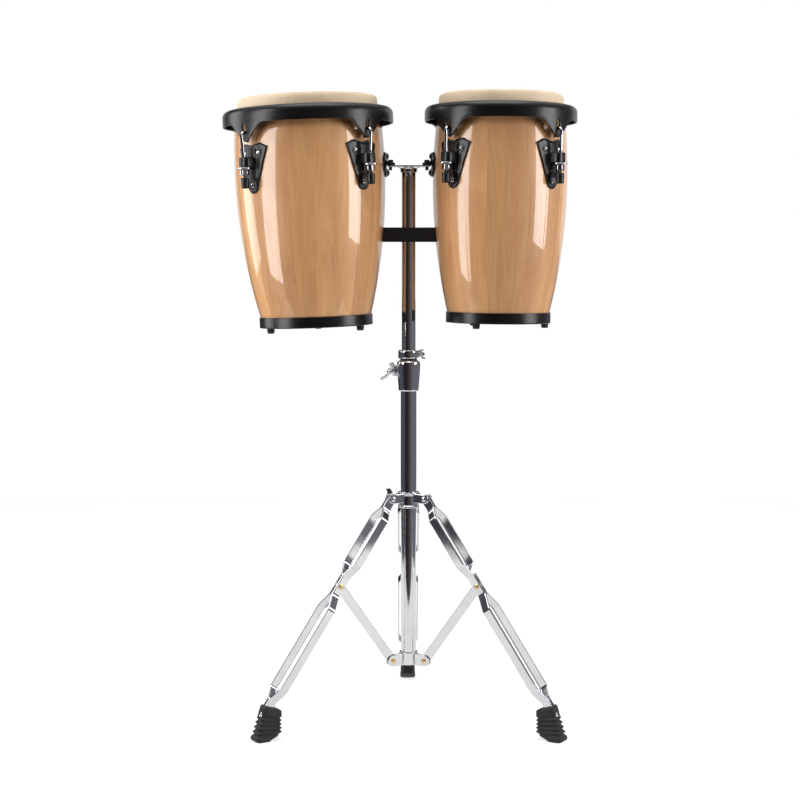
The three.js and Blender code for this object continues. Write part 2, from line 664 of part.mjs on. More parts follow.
stand.add(mesh('base_tube', makeTube(BASE_TUBE, 16), CHROME));
stand.add(mesh('upper_tube', makeTube(UPPER_TUBE, SMALL_ROUND), CHROME));
stand.add(mesh('bottom_hub', makeHub(), CHROME));
stand.add(mesh('leg_collar', makeCollar(), CHROME));
stand.add(mesh('height_clamp', makeClamp(), CHROME));
stand.add(mesh('clamp_bushing', makeBushing(), NYLON));
stand.add(mesh('memory_lock', makeLock(), CHROME));
stand.add(mesh('crossbar_plate', makeCrossbar(), CHROME));
stand.add(mesh('spacer_bar', makeSpacer(), RUBBER));

const clampScrew = ringScrew(CLAMP_EARS, CLAMP.azimuth, 1, 50, {
  shankRadius: 3, hubRadius: 5.6, hubHeight: 10, span: 20, rise: 18, thickness: 3, standOff: 2.2,
});
clampScrew.place('clamp_wing_bolt');
stand.add(clampScrew.group);

const lockScrew = ringScrew(LOCK_EARS, LOCK.azimuth, -1, 20, {
  shankRadius: 3, hubRadius: 4.2, hubHeight: 6, span: 9, rise: 11, thickness: 3, standOff: 0.6,
});
lockScrew.place('memory_lock_bolt');
stand.add(lockScrew.group);

const collarScrew = mesh('collar_wing_bolt', makeCollarScrew(), CHROME);
const screwAngle = COLLAR.screwAzimuth * DEG;
collarScrew.position.set(
  COLLAR.screwR * Math.cos(screwAngle),
  COLLAR.screwR * Math.sin(screwAngle),
  COLLAR.screwZ,
);
collarScrew.rotation.set(0, Math.PI / 2, screwAngle, 'ZYX');
stand.add(collarScrew);

const midRivet = {
  r: LEG_PIVOT.r + LEG_MID * Math.cos(LEG_SLOPE * DEG),
  z: LEG_PIVOT.z - LEG_MID * Math.sin(LEG_SLOPE * DEG),
};
const braceRise = Math.atan2(midRivet.z - HUB_PIVOT.z, midRivet.r - HUB_PIVOT.r);
const braceLength = Math.hypot(midRivet.z - HUB_PIVOT.z, midRivet.r - HUB_PIVOT.r);
const boot = makeBoot();
for (const [name, azimuth] of Object.entries(LEG_AZIMUTHS)) {
  const group = legGroup(azimuth);
  const frame = legFrame();
  frame.add(mesh(`${name}_leg_strap_a`, makeStrap(1), CHROME));
  frame.add(mesh(`${name}_leg_strap_b`, makeStrap(-1), CHROME));
  const brace = mesh(`${name}_brace`, makeBrace(braceLength), CHROME);
  brace.position.set(HUB_PIVOT.r, 0, HUB_PIVOT.z);
  brace.rotation.y = -braceRise;
  group.add(frame, brace, mesh(`${name}_boot`, boot, RUBBER));
  stand.add(group);
}

for (const drum of DRUMS) {
  stand.add(makeDrum(drum));
  stand.add(mesh(`${drum.side}_bracket_screw`, makeBracketScrew(drum), BLACK_STEEL));
}

const box = new THREE.Box3().setFromObject(conga, true);
stand.position.set(-(box.min.x + box.max.x) / 2, -(box.min.y + box.max.y) / 2, -box.min.z);

export default conga;
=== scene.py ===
"""A pair of conga drums on a folding tripod stand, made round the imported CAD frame.

Shapes are drawn in millimetres, in the frame of the part they belong to: a drum's frame has its
origin in the middle of the head and Z along the drum, a leg's frame has X along the leg. Places
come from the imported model's joints and boxes. Every piece is then put in the row frame in metres.
"""

import json
import math
import random
from math import cos, hypot, pi, radians, sin, sqrt

import bmesh
import bpy
from mathutils import Matrix, Vector


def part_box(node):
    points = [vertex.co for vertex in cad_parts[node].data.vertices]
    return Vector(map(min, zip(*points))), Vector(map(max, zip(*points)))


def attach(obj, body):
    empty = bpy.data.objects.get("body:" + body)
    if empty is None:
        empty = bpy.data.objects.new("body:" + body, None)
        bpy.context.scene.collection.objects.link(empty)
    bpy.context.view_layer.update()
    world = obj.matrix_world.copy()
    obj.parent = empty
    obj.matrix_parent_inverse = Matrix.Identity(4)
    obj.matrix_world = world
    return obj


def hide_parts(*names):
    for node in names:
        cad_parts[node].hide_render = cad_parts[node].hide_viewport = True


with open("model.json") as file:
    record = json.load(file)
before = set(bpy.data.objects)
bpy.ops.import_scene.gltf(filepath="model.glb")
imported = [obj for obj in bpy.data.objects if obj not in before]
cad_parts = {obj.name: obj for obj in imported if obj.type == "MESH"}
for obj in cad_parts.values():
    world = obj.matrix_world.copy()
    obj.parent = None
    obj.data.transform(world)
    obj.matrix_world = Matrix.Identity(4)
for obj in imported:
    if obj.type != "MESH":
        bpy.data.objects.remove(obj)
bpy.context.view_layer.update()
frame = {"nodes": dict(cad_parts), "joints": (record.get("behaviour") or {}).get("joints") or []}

MM = 0.001
DRUM_SIDES = ("left", "right")
LEG_NAMES = ("left", "right", "rear")
scene = bpy.context.scene
joints = {joint["name"]: joint for joint in frame["joints"]}


# ---- materials

class Nodes:
    """A small writer for a tree of nodes."""

    def __init__(self, tree):
        self.tree = tree

    def node(self, kind, inputs=None, **settings):
        """A node with its settings, and with its inputs set to values or linked to outputs."""
        made = self.tree.nodes.new(kind)
        for key, value in settings.items():
            setattr(made, key, value)
        for key, value in (inputs or {}).items():
            if isinstance(value, bpy.types.NodeSocket):
                self.tree.links.new(value, made.inputs[key])
            else:
                made.inputs[key].default_value = value
        return made

    def spread(self, value, low, high, from_low=0.0, from_high=1.0):
        """A value from one range spread over another."""
        limits = {"From Min": from_low, "From Max": from_high, "To Min": low, "To Max": high}
        return self.node("ShaderNodeMapRange", {"Value": value, **limits}).outputs["Result"]

    def ramp(self, source, *stops):
        made = self.node("ShaderNodeValToRGB", {"Fac": source})
        elements = made.color_ramp.elements
        while len(elements) < len(stops):
            elements.new(0.5)
        for element, (position, color) in zip(elements, stops):
            element.position = position
            element.color = (*color, 1.0)
        return made.outputs["Color"]

    def mix(self, factor, first, second, blend="MIX"):
        inputs = {0: factor, 6: first, 7: second}
        return self.node("ShaderNodeMix", inputs, data_type="RGBA", blend_type=blend).outputs[2]


class Paint(Nodes):
    """One material. Its values are set on the sockets of its own shader."""

    def __init__(self, name, **values):
        self.material = bpy.data.materials.new(name)
        self.material.use_nodes = True
        super().__init__(self.material.node_tree)
        self.shader = self.tree.nodes["Principled BSDF"]
        for socket, value in values.items():
            self.shader.inputs[socket.replace("_", " ")].default_value = value

    def place(self, scale=(1, 1, 1), source=None):
        """Coordinates in metres, stretched by scale."""
        if source is None:
            source = self.node("ShaderNodeTexCoord").outputs["Object"]
        return self.node("ShaderNodeMapping", {"Vector": source, "Scale": scale}).outputs["Vector"]

    def noise(self, vector, scale, detail=3.0, roughness=0.5, distortion=0.0):
        values = {"Scale": scale, "Detail": detail, "Roughness": roughness, "Distortion": distortion}
        return self.node("ShaderNodeTexNoise", {"Vector": vector, **values}).outputs["Fac"]

    def bump(self, height, strength, distance, **under):
        """The normals of a height field. It lies on the normals given as Normal."""
        inputs = {"Height": height, "Strength": strength, "Distance": distance, **under}
        return self.node("ShaderNodeBump", inputs).outputs["Normal"]

    def send(self, source, socket):
        self.tree.links.new(source, self.shader.inputs[socket])


def grey(value):
    return (value, value, value)


def chrome_paint():
    """Bright plate: very smooth, with faint wiping marks in the gloss."""
    paint = Paint("chrome", Metallic=1.0, Roughness=0.06)
    where = paint.place()
    smears = paint.noise(where, 35, 4.0, 0.6)
    paint.send(paint.ramp(smears, (0.3, (0.51, 0.51, 0.525)), (0.75, (0.57, 0.57, 0.585))), "Base Color")
    paint.send(paint.spread(paint.noise(where, 90, 3.0), 0.03, 0.11), "Roughness")
    ripple = paint.noise(where, 22, 1.0)
    paint.send(paint.bump(ripple, 0.12, 0.0004), "Normal")
    return paint.material


def brass_paint():
    paint = Paint("brass", Metallic=1.0)
    tone = paint.noise(paint.place(), 240, 3.0)
    paint.send(paint.ramp(tone, (0.3, (0.50, 0.33, 0.12)), (0.8, (0.72, 0.52, 0.25))), "Base Color")
    paint.send(paint.spread(tone, 0.16, 0.34), "Roughness")
    return paint.material


def powder_paint():
    """Black powder coat: satin, with a fine orange-peel surface."""
    paint = Paint("black_steel", Specular_IOR_Level=0.33)
    where = paint.place()
    tone = paint.noise(where, 18, 3.0)
    paint.send(paint.ramp(tone, (0.3, grey(0.0025)), (0.75, (0.0045, 0.0042, 0.0048))), "Base Color")
    paint.send(paint.spread(paint.noise(where, 60, 2.0), 0.25, 0.32), "Roughness")
    peel = paint.noise(where, 900, 2.0)
    paint.send(paint.bump(peel, 0.08, 0.0003), "Normal")
    return paint.material


def rubber_paint(name, base, low, high, grain):
    paint = Paint(name, Specular_IOR_Level=0.4)
    where = paint.place()
    tone = paint.noise(where, 40, 4.0, 0.6)
    darker = tuple(c * 0.7 for c in base)
    paint.send(paint.ramp(tone, (0.3, darker), (0.75, base)), "Base Color")
    paint.send(paint.spread(paint.noise(where, 120, 3.0), low, high), "Roughness")
    paint.send(paint.bump(paint.noise(where, grain, 2.0), 0.3, 0.0004), "Normal")
    return paint.material


def hide_paint():
    """Natural hide: cream, cloudy, with pores and a satin surface."""
    paint = Paint("rawhide", Specular_IOR_Level=0.35, Subsurface_Weight=0.06, Subsurface_Scale=0.004)
    where = paint.place()
    clouds = paint.noise(where, 14, 5.0, 0.6, 0.4)
    tones = (0.30, (0.52, 0.40, 0.27)), (0.55, (0.58, 0.46, 0.32)), (0.80, (0.62, 0.505, 0.36))
    base = paint.ramp(clouds, *tones)
    spots = paint.noise(where, 260, 3.0)
    speckle = paint.ramp(spots, (0.30, grey(0.86)), (0.55, grey(1.0)))
    paint.send(paint.mix(0.6, base, speckle, "MULTIPLY"), "Base Color")
    paint.send(paint.spread(clouds, 0.42, 0.62), "Roughness")
    fine = paint.bump(paint.noise(where, 700, 3.0), 0.12, 0.0003)
    paint.send(paint.bump(clouds, 0.12, 0.0010, Normal=fine), "Normal")
    return paint.material


def wood_paint():
    """Lacquered staves: each has its own tone and its own grain, which runs along it."""
    paint = Paint("wood", Coat_Weight=1.0, Coat_Roughness=0.03, Coat_IOR=1.5, Specular_IOR_Level=0.3)
    grain = paint.node("ShaderNodeAttribute", attribute_name="grain").outputs["Vector"]
    stave = paint.node("ShaderNodeAttribute", attribute_name="stave").outputs["Fac"]
    chance = paint.node("ShaderNodeTexWhiteNoise", {"W": stave}, noise_dimensions="1D")
    pores = paint.noise(paint.place((420, 9, 1), grain), 1.0, 5.0, 0.65)
    streaks = paint.noise(paint.place((46, 2.4, 1), grain), 1.0, 4.0, 0.6, 0.8)
    rings = paint.noise(paint.place((20, 2.4, 1), grain), 1.0, 2.0, 0.5, 1.6)
    clouds = paint.noise(paint.place((16, 7, 1), grain), 1.0, 3.0, 0.55, 0.6)
    turns = paint.node("ShaderNodeMath", {0: rings, 1: 46.0}, operation="MULTIPLY").outputs[0]
    figure = paint.node("ShaderNodeMath", {0: turns}, operation="SINE").outputs[0]
    tones = (0.25, (0.440, 0.230, 0.098)), (0.50, (0.490, 0.262, 0.116)), (0.78, (0.522, 0.290, 0.135))
    base = paint.ramp(streaks, *tones)
    blotches = paint.ramp(clouds, (0.30, (0.82, 0.76, 0.70)), (0.55, grey(1.0)))
    blotched = paint.mix(0.8, base, blotches, "MULTIPLY")
    flames = paint.ramp(figure, (0.1, (0.42, 0.21, 0.085)), (0.9, (0.68, 0.40, 0.20)))
    figured = paint.mix(0.13, blotched, flames)
    pits = paint.ramp(pores, (0.32, grey(0.78)), (0.56, grey(1.0)))
    pored = paint.mix(0.22, figured, pits, "MULTIPLY")
    tones = (0.0, (0.84, 0.80, 0.76)), (0.5, grey(1.0)), (1.0, (1.12, 1.12, 1.10))
    tone = paint.ramp(chance.outputs["Value"], *tones)
    paint.send(paint.mix(1.0, pored, tone, "MULTIPLY"), "Base Color")
    paint.send(paint.spread(streaks, 0.30, 0.45), "Roughness")
    paint.send(paint.bump(pores, 0.05, 0.0002), "Normal")
    return paint.material


def bare_wood_paint():
    """The unlacquered inside of a shell."""
    paint = Paint("wood_inside", Specular_IOR_Level=0.2)
    grain = paint.node("ShaderNodeAttribute", attribute_name="grain").outputs["Vector"]
    streaks = paint.noise(paint.place((70, 2.5, 1), grain), 1.0, 4.0, 0.6, 0.6)
    paint.send(paint.ramp(streaks, (0.3, (0.36, 0.20, 0.09)), (0.7, (0.52, 0.32, 0.16))), "Base Color")
    paint.send(paint.spread(streaks, 0.6, 0.8), "Roughness")
    paint.send(paint.bump(streaks, 0.3, 0.0005), "Normal")
    return paint.material


CHROME = chrome_paint()
BRASS = brass_paint()
POWDER = powder_paint()
RUBBER = rubber_paint("rubber", (0.008, 0.0075, 0.008), 0.45, 0.62, 500)
FOAM = rubber_paint("spacer_rubber", (0.004, 0.0035, 0.0035), 0.62, 0.80, 1100)
NYLON = rubber_paint("nylon", (0.008, 0.008, 0.008), 0.26, 0.38, 300)
HIDE = hide_paint()
WOOD = wood_paint()
WOOD_INSIDE = bare_wood_paint()


# ---- outlines

def rounded(points, cut, steps=4, closed=True):
    """The outline with each corner replaced by a curve that starts and ends at cut from it."""
    cuts = cut if isinstance(cut, (list, tuple)) else [cut] * len(points)
    made = []
    count = len(points)
    for i, corner in enumerate(points):
        if not closed and i in (0, count - 1) or cuts[i] == 0:
            made.append(tuple(corner))
            continue
        here = Vector(corner)
        before = Vector(points[i - 1]) - here
        after = Vector(points[(i + 1) % count]) - here
        reach = min(cuts[i], 0.48 * before.length, 0.48 * after.length)
        start = here + before.normalized() * reach
        end = here + after.normalized() * reach
        for k in range(steps + 1):
            t = k / steps
            made.append(tuple(start * (1 - t) ** 2 + here * 2 * t * (1 - t) + end * t * t))
    return made


def inset(points, depth):
    """A closed counter-clockwise outline moved inward by depth."""
    made = []
    count = len(points)
    for i in range(count):
        here = Vector(points[i])
        before = (here - Vector(points[i - 1])).normalized()
        after = (Vector(points[(i + 1) % count]) - here).normalized()
        bisector = Vector((-before.y - after.y, before.x + after.x))
        if bisector.length < 1e-6:
            bisector = Vector((-before.y, before.x))
        bisector.normalize()
        lean = max(0.4, bisector.dot(Vector((-before.y, before.x))))
        made.append(tuple(here + bisector * depth / lean))
    return made


def straightened(profile):
    """The profile with a point near each end of every long run, so the run is shaded straight."""
    made = [profile[0]]
    for start, end in zip(profile, profile[1:]):
        run = Vector(end) - Vector(start)
        if run.length > 4:
            near = Vector(start) + run.normalized() * 0.8
            far = Vector(end) - run.normalized() * 0.8
            made += [tuple(near), tuple(far)]
        made.append(end)
    return made


def around(radius, angle, *rest):
    """The point at a radius and an angle, with whatever else it needs after x and y."""
    return (radius * cos(angle), radius * sin(angle), *rest)


def circle(radius, sides):
    return [around(radius, 2 * pi * i / sides) for i in range(sides)]


def box_outline(x0, x1, y0, y1):
    return [(x0, y0), (x1, y0), (x1, y1), (x0, y1)]


def stadium(x0, x1, radius, steps=10):
    half_turn = [radians(180 * i / steps - 90) for i in range(steps + 1)]
    right = [(x1 + radius * cos(a), radius * sin(a)) for a in half_turn]
    return right + [(x0 - radius * cos(a), -radius * sin(a)) for a in half_turn]


def smooth_path(points, steps):
    """Points along a centripetal curve through the given points."""
    known = [Vector(p) for p in points]
    known = [2 * known[0] - known[1], *known, 2 * known[-1] - known[-2]]
    made = []
    for i in range(1, len(known) - 2):
        near = known[i - 1:i + 3]
        times = [0.0]
        for here, there in zip(near, near[1:]):
            times.append(times[-1] + (there - here).length ** 0.5)
        for k in range(steps):
            t = times[1] + (times[2] - times[1]) * k / steps
            level = near
            for knots in (((0, 1), (1, 2), (2, 3)), ((0, 2), (1, 3)), ((1, 2),)):
                level = [
                    here.lerp(there, (t - times[low]) / (times[high] - times[low]))
                    for here, there, (low, high) in zip(level, level[1:], knots)
                ]
            made.append(level[0])
    made.append(known[-2])
    return made


# ---- solids

UP = Matrix.Identity(4)
ALONG_X = Matrix.Rotation(radians(90), 4, "Y")
STOOD = Matrix.Rotation(radians(90), 4, "X")


def at(x=0.0, y=0.0, z=0.0):
    return Matrix.Translation((x, y, z))


def spun(degrees, axis="Z"):
    return Matrix.Rotation(radians(degrees), 4, axis)


class Shape:
    """Closed surfaces gathered into one mesh, in millimetres."""

    def __init__(self):
        self.points = []
        self.faces = []

    def net(self, rows, where=UP, ring=False):
        """A net of closed rows. Its first and last rows are capped, or joined to form a ring."""
        first = len(self.points)
        width = len(rows[0])
        for row in rows:
            self.points.extend(where @ Vector(p) for p in row)
        starts = [first + r * width for r in range(len(rows))]
        for below, above in zip(starts, starts[1:] + starts[:1] * ring):
            for c in range(width):
                d = (c + 1) % width
                self.faces.append((below + c, below + d, above + d, above + c))
        if not ring:
            for start in (starts[0], starts[-1]):
                self.faces.append(tuple(range(start, start + width)))
        return self

    def turn(self, profile, sides=48, where=UP, start=0.0, sweep=360.0):
        """A profile of (radius, height) turned round Z. A profile off the axis closes on itself."""
        profile = straightened(profile)
        whole = sweep >= 360
        count = sides if whole else sides + 1
        angles = [radians(start + sweep * i / sides) for i in range(count)]
        open_ended = profile[0][0] < 1e-6 and profile[-1][0] < 1e-6
        if open_ended:
            return self.net([[around(r, a, z) for a in angles] for r, z in profile[1:-1]], where)
        if whole:
            return self.net([[around(r, a, z) for a in angles] for r, z in profile], where, True)
        return self.net([[around(r, a, z) for r, z in profile] for a in angles], where)

    def rod(self, radius, low, high, where=UP, edge=0.4):
        half = [(0, low), (radius - edge, low), (radius, low + edge)]
        rest = [(radius, high - edge), (radius - edge, high), (0, high)]
        return self.turn(half + rest, 24, where)

    def slab(self, outline, low, high, where=UP, edge=0.6):
        """An outline with thickness along Z and softened edges."""
        steps = [(inset(outline, edge * n), edge * rise) for n, rise in ((1.5, 0), (1, 0), (0.3, 0.3))]
        steps.append((outline, edge))
        rows = [[(x, y, low + rise) for x, y in ring] for ring, rise in steps]
        rows += [[(x, y, high - rise) for x, y in ring] for ring, rise in steps[::-1]]
        return self.net(rows, where)

    def sweep(self, path, section, where=UP):
        """A section carried along a path, turning as little as it can."""
        path = [Vector(p) for p in path]
        tangent = (path[1] - path[0]).normalized()
        side = tangent.orthogonal().normalized()
        rows = []
        for i, p in enumerate(path):
            ahead = path[min(i + 1, len(path) - 1)] - path[max(i - 1, 0)]
            turn = tangent.rotation_difference(ahead.normalized())
            tangent = ahead.normalized()
            side = (turn @ side).normalized()
            other = tangent.cross(side)
            rows.append([tuple(p + side * a + other * b) for a, b in section])
        return self.net(rows, where)

    def thread(self, radius, low, high, where=UP):
        """A threaded length of rod: the surface winds up along a helix, 1 mm a turn."""
        depth = 0.35
        steps = max(4, int((high - low) * 6))
        angles = [2 * pi * k / 14 for k in range(14)]
        rows = []
        for i in range(steps + 1):
            z = low + (high - low) * i / steps
            rows.append([around(radius - depth * (0.5 - 0.5 * cos(2 * pi * z - a)), a, z) for a in angles])
        return self.net(rows, where)

    def hexagon(self, across, low, high, where=UP, bore=0.0):
        """A hexagon nut or head with chamfered corners."""
        angles = [2 * pi * k / 48 for k in range(48)]
        chamfer = across * 0.5 + 0.25

        def ring(limit, z):
            offs = [(a + pi / 6) % (pi / 3) - pi / 6 for a in angles]
            return [around(min(across / 2 / cos(off), limit), a, z) for a, off in zip(angles, offs)]

        rows = [ring(chamfer - 0.5, low), ring(chamfer + 0.1, low + 0.35), ring(99, low + 1.1)]
        rows += [ring(99, high - 1.1), ring(chamfer + 0.1, high - 0.35), ring(chamfer - 0.5, high)]
        if bore:
            rows += [ring(bore, high), ring(bore, low)]
        return self.net(rows, where, ring=bore > 0)

    def dome(self, radius, height, where=UP):
        """A rivet's domed head standing on z = 0, with a small dimple on top."""
        profile = [(0, -0.5), (radius, -0.5), (radius, height * 0.18)]
        for i in range(1, 7):
            a = radians(15 * i)
            profile.append((radius * cos(a) + 0.01, height * 0.18 + height * 0.82 * sin(a)))
        profile[-1] = (radius * 0.24, height)
        profile += [(radius * 0.16, height * 0.86), (0, height * 0.84)]
        return self.turn(profile, 24, where)

    def mesh(self, name, sharp=35):
        made = bpy.data.meshes.new(name)
        made.from_pydata([tuple(p) for p in self.points], [], self.faces)
        work = bmesh.new()
        work.from_mesh(made)
        bmesh.ops.remove_doubles(work, verts=work.verts, dist=0.0005)
        bmesh.ops.recalc_face_normals(work, faces=work.faces)
        work.to_mesh(made)
        work.free()
        made.shade_smooth()
        made.set_sharp_from_angle(angle=radians(sharp))
        return made


DRUM_PIECES = []                   # the only pieces that the low ends of the light panels light
HOOK_PIECES = []                   # the pieces that the left light panels leave dark


def show(name, shape, material, body, where, replaced=(), sharp=35):
    """Puts a shape in the row frame as one piece that rides on a body."""
    made = shape.mesh(name, sharp) if isinstance(shape, Shape) else shape
    made.transform(Matrix.Scale(MM, 4) @ where)
    made.materials.append(material)
    piece = bpy.data.objects.new(name, made)
    scene.collection.objects.link(piece)
    if material in (WOOD, HIDE, POWDER):
        DRUM_PIECES.append(piece)
    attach(piece, body)
    if replaced:
        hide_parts(*replaced)
    return piece


# ---- drums

STAVES = 20
STAVE_CURVE = 900                  # radius of a stave's bow
FIRST_SEAM = 4.0                   # degrees from the drum's front
SHELL_WALL = 11
EAR_TIP = -73
RIM_WALL = 3.0
RIM_TOP = -19
RIM_BASE = -44
EAR_BEND = 2.5                     # how far an ear's tip leans in from the rim's wall
NUT_HEIGHT = -119                  # where the nuts' hinges are, below the head
ROD_STAND_OFF = 17.5
ROD_RADIUS = 2.5
FOOT_RING_HEIGHT = 17.5
# Radii of the head, the rim and the belly, heights of the belly and the foot, and where the studs are.
SIZE_NAMES = ("head", "rim", "belly", "belly_z", "foot", "feet")
DRUM_SIZES = {
    "left": dict(zip(SIZE_NAMES, (112.0, 136.5, 120.4, -112.3, -364.3, (90, 210, 330)))),
    "right": dict(zip(SIZE_NAMES, (99.7, 122.0, 107.8, -134.3, -363.8, (0, 120, 240)))),
}
EAR_AZIMUTHS = (45, 135, 225, 315)


def drum_frame(side):
    """The drum's frame in millimetres, from the hinges of its four nuts."""
    turns = [joints[f"{side}_nut_{i}_turn"] for i in (1, 2, 3, 4)]
    spots = [Vector(turn["pos_m"]) / MM for turn in turns]
    axis = Vector(turns[0]["axis"]).normalized()
    centre = sum(spots, Vector()) / 4
    forward = (spots[0] + spots[3] - 2 * centre).normalized()
    across = axis.cross(forward)
    made = Matrix((forward, across, axis)).transposed().to_4x4()
    made.translation = centre - axis * NUT_HEIGHT
    return made


def stave_radius(size, z):
    rise = z - size["belly_z"]
    return size["belly"] - (STAVE_CURVE - sqrt(STAVE_CURVE ** 2 - rise ** 2))


def smooth(t):
    t = max(0.0, min(1.0, t))
    return t * t * (3 - 2 * t)


def stave_columns():
    """Angles round the shell, with the stave that each column begins and how deep its seam is."""
    seam = radians(0.12)
    width = 2 * pi / STAVES
    columns = []
    for i in range(STAVES):
        start = i * width + radians(FIRST_SEAM)
        columns.append((start, i, 0.025))
        columns.append((start + seam, i, 0.0))
        for k in range(1, 7):
            columns.append((start + width * k / 7, i, 0.0))
        columns.append((start + width - seam, i, 0.0))
    return columns


def make_shell(side, size, where):
    columns = stave_columns()
    shoulder = -50
    neck = size["head"] - 2.2
    foot = size["foot"] + 3
    outer = [(stave_radius(size, z), z) for z in (foot + (shoulder - foot) * i / 44 for i in range(45))]
    top = [(neck, -41), (neck, -9), (neck - 0.8, -5.5), (neck - 2.6, -2.8), (neck - 5, -2.2)]
    top += [(neck - 8, -3.2), (neck - 10, -6)]
    inner_top = [(neck - SHELL_WALL, -11), (neck - SHELL_WALL, shoulder)]
    inner = []
    for i in range(12):
        z = shoulder - 40 + (foot - shoulder + 40) * i / 11
        inner.append((stave_radius(size, z) - SHELL_WALL, z))
    profile = outer + top + inner_top + inner
    inside_from = len(outer) + len(top)
    rows = [[around(r - dip, a, z) for a, _, dip in columns] for r, z in profile]
    shape = Shape().net(rows, ring=True)
    made = bpy.data.meshes.new(f"{side}_staves")
    made.from_pydata([tuple(p) for p in shape.points], [], shape.faces)
    grain = made.attributes.new("grain", "FLOAT_VECTOR", "CORNER")
    stave = made.attributes.new("stave", "FLOAT", "FACE")
    lengths = [random.Random(101 + i).uniform(0, 5) for i in range(STAVES)]
    width = len(columns)
    belly = size["belly"]
    offset = 0 if side == "left" else STAVES
    for face in made.polygons:
        column = face.index % width
        owner = columns[column][1]
        stave.data[face.index].value = owner + offset + 0.5
        for corner in face.loop_indices:
            vertex = made.loops[corner].vertex_index
            angle = columns[vertex % width][0]
            if column == width - 1 and vertex % width == 0:
                angle += 2 * pi
            height = made.vertices[vertex].co.z
            grain.data[corner].vector = (
                angle * belly * MM + owner * 0.37, height * MM + lengths[owner], owner * 3.1 + offset,
            )
    made.shade_smooth()
    made.set_sharp_from_angle(angle=radians(40))
    made.flip_normals()
    show(f"{side}_staves", made, WOOD, "mast", where, [f"{side}_shell"])
    made.materials.append(WOOD_INSIDE)
    for face in made.polygons:
        if inside_from <= face.index // width < len(profile) - 1:
            face.material_index = 1


def make_head(side, size, where):
    """The hide is drawn over the shell's edge, down inside the rim and round the flesh hoop."""
    radius = size["head"]
    skin = 1.4
    profile = [(0, -skin)]
    profile += [(radius - 12, -skin), (radius - 6, -skin - 0.5), (radius - 2.6, -4.2), (radius - skin, -8)]
    profile += [(radius - skin, -39.5), (radius + 4.5, -39.5), (radius + 5, -38.5), (radius + 5, -34)]
    profile += [(radius + 4, -33), (radius + 0.6, -33), (radius, -32), (radius, -9), (radius - 0.3, -5.5)]
    profile += [(radius - 1.2, -3.0), (radius - 2.6, -1.3), (radius - 4.8, -0.35), (radius - 8, 0)]
    profile += [(radius - 30, 0.12), (radius - 70, 0.18), (0, 0.2)]
    show(f"{side}_skin", Shape().turn(profile, 144), HIDE, "mast", where, [f"{side}_head"])


def ear_edge(u):
    """Height of the rim's lower edge at a distance u along it from the middle of an ear.

    The tip is an arc. The flank climbs from it at 45 degrees and bends into the straight edge.
    """
    tip_radius = 10
    flank_from, flank_to = 7, 25
    flank_foot = EAR_TIP + 2.86
    bend = 16.28
    u = abs(u)
    if u < flank_from:
        return EAR_TIP + tip_radius - sqrt(tip_radius ** 2 - u * u)
    if u < flank_to:
        return flank_foot + (u - flank_from)
    t = min(1.0, (u - flank_to) / bend)
    return flank_foot + (flank_to - flank_from) + bend * (t - t * t / 2)


def rim_section(u, outer, inner):
    """The rim's section at a distance u along it from the middle of an ear."""
    base = ear_edge(u)
    lip = (RIM_BASE - base) / (RIM_BASE - EAR_TIP)
    groove = 1.1 * smooth((5.2 - abs(u)) / 2.4)
    back = outer - RIM_WALL

    def leaned(points):
        """The points below the rim's edge leaned in with the ear, behind the hook's groove."""
        made = []
        for radius, z in points:
            dent = groove * smooth((EAR_TIP + 21 - z) / 4.0)
            bend = EAR_BEND * max(0.0, RIM_BASE - z) / (RIM_BASE - EAR_TIP)
            made.append((radius - dent - bend, z))
        return made

    front = [(back, base + 0.9), (back + 0.5, base + 0.2), (outer - 1.5, base), (outer - 0.4, base + 0.3)]
    front.append((outer - 0.5 * (1 - lip), base + 1.2))
    front += [(outer, base + 1.2 + (-30 - base - 1.2) * k / 8) for k in range(1, 9)]
    top = []
    for a in range(15, 91, 15):
        top.append((outer - 10 + 10 * cos(radians(a)), -29 + 10 * sin(radians(a))))
    top += [(outer - 14, RIM_TOP), (inner + 6, RIM_TOP)]
    for a in range(100, 181, 20):
        top.append((inner + 5 + 5 * cos(radians(a)), RIM_TOP - 5 + 5 * sin(radians(a))))
    top += [(inner, -32.6), (inner + RIM_WALL, -32.6), (inner + RIM_WALL, -25)]
    top += [(inner + 5, RIM_TOP - RIM_WALL), (outer - 12, RIM_TOP - RIM_WALL)]
    top += [(outer - 5.5, RIM_TOP - 5.5), (back, -29)]
    return leaned(front) + top + leaned([(back, -30 + (base + 0.9 + 30) * k / 8) for k in range(1, 8)])


def make_rim(side, size, where):
    outer = size["rim"]
    inner = size["head"] + 1.3
    half_arc = outer * pi / 4
    stations = [float(u) for u in range(12)] + [12 + 1.7 * i for i in range(20)]
    stations += [46.0 + (half_arc - 46.0) * i / 8 for i in range(9)]
    spread = sorted(set([-u for u in stations[1:-1]] + stations))
    rows = []
    for azimuth in EAR_AZIMUTHS:
        for u in spread:
            angle = radians(azimuth) + u / outer
            rows.append([around(r, angle, z) for r, z in rim_section(u, outer, inner)])
    shape = Shape().net(rows, ring=True)
    piece = show(f"{side}_rim_steel", shape, POWDER, f"{side}_tuning", where, [f"{side}_rim"], sharp=50)
    hole = Shape()
    outline = stadium(-61.3 + 3.6, -45.0 - 3.6, 3.6, 12)
    for azimuth in EAR_AZIMUTHS:
        facing = spun(azimuth) @ Matrix(((0, 0, 1, 0), (0, 1, 0, 0), (1, 0, 0, 0), (0, 0, 0, 1)))
        hole.slab(outline, outer - 13, outer + 6, facing, edge=0.01)
    cut_out(piece, hole, where)


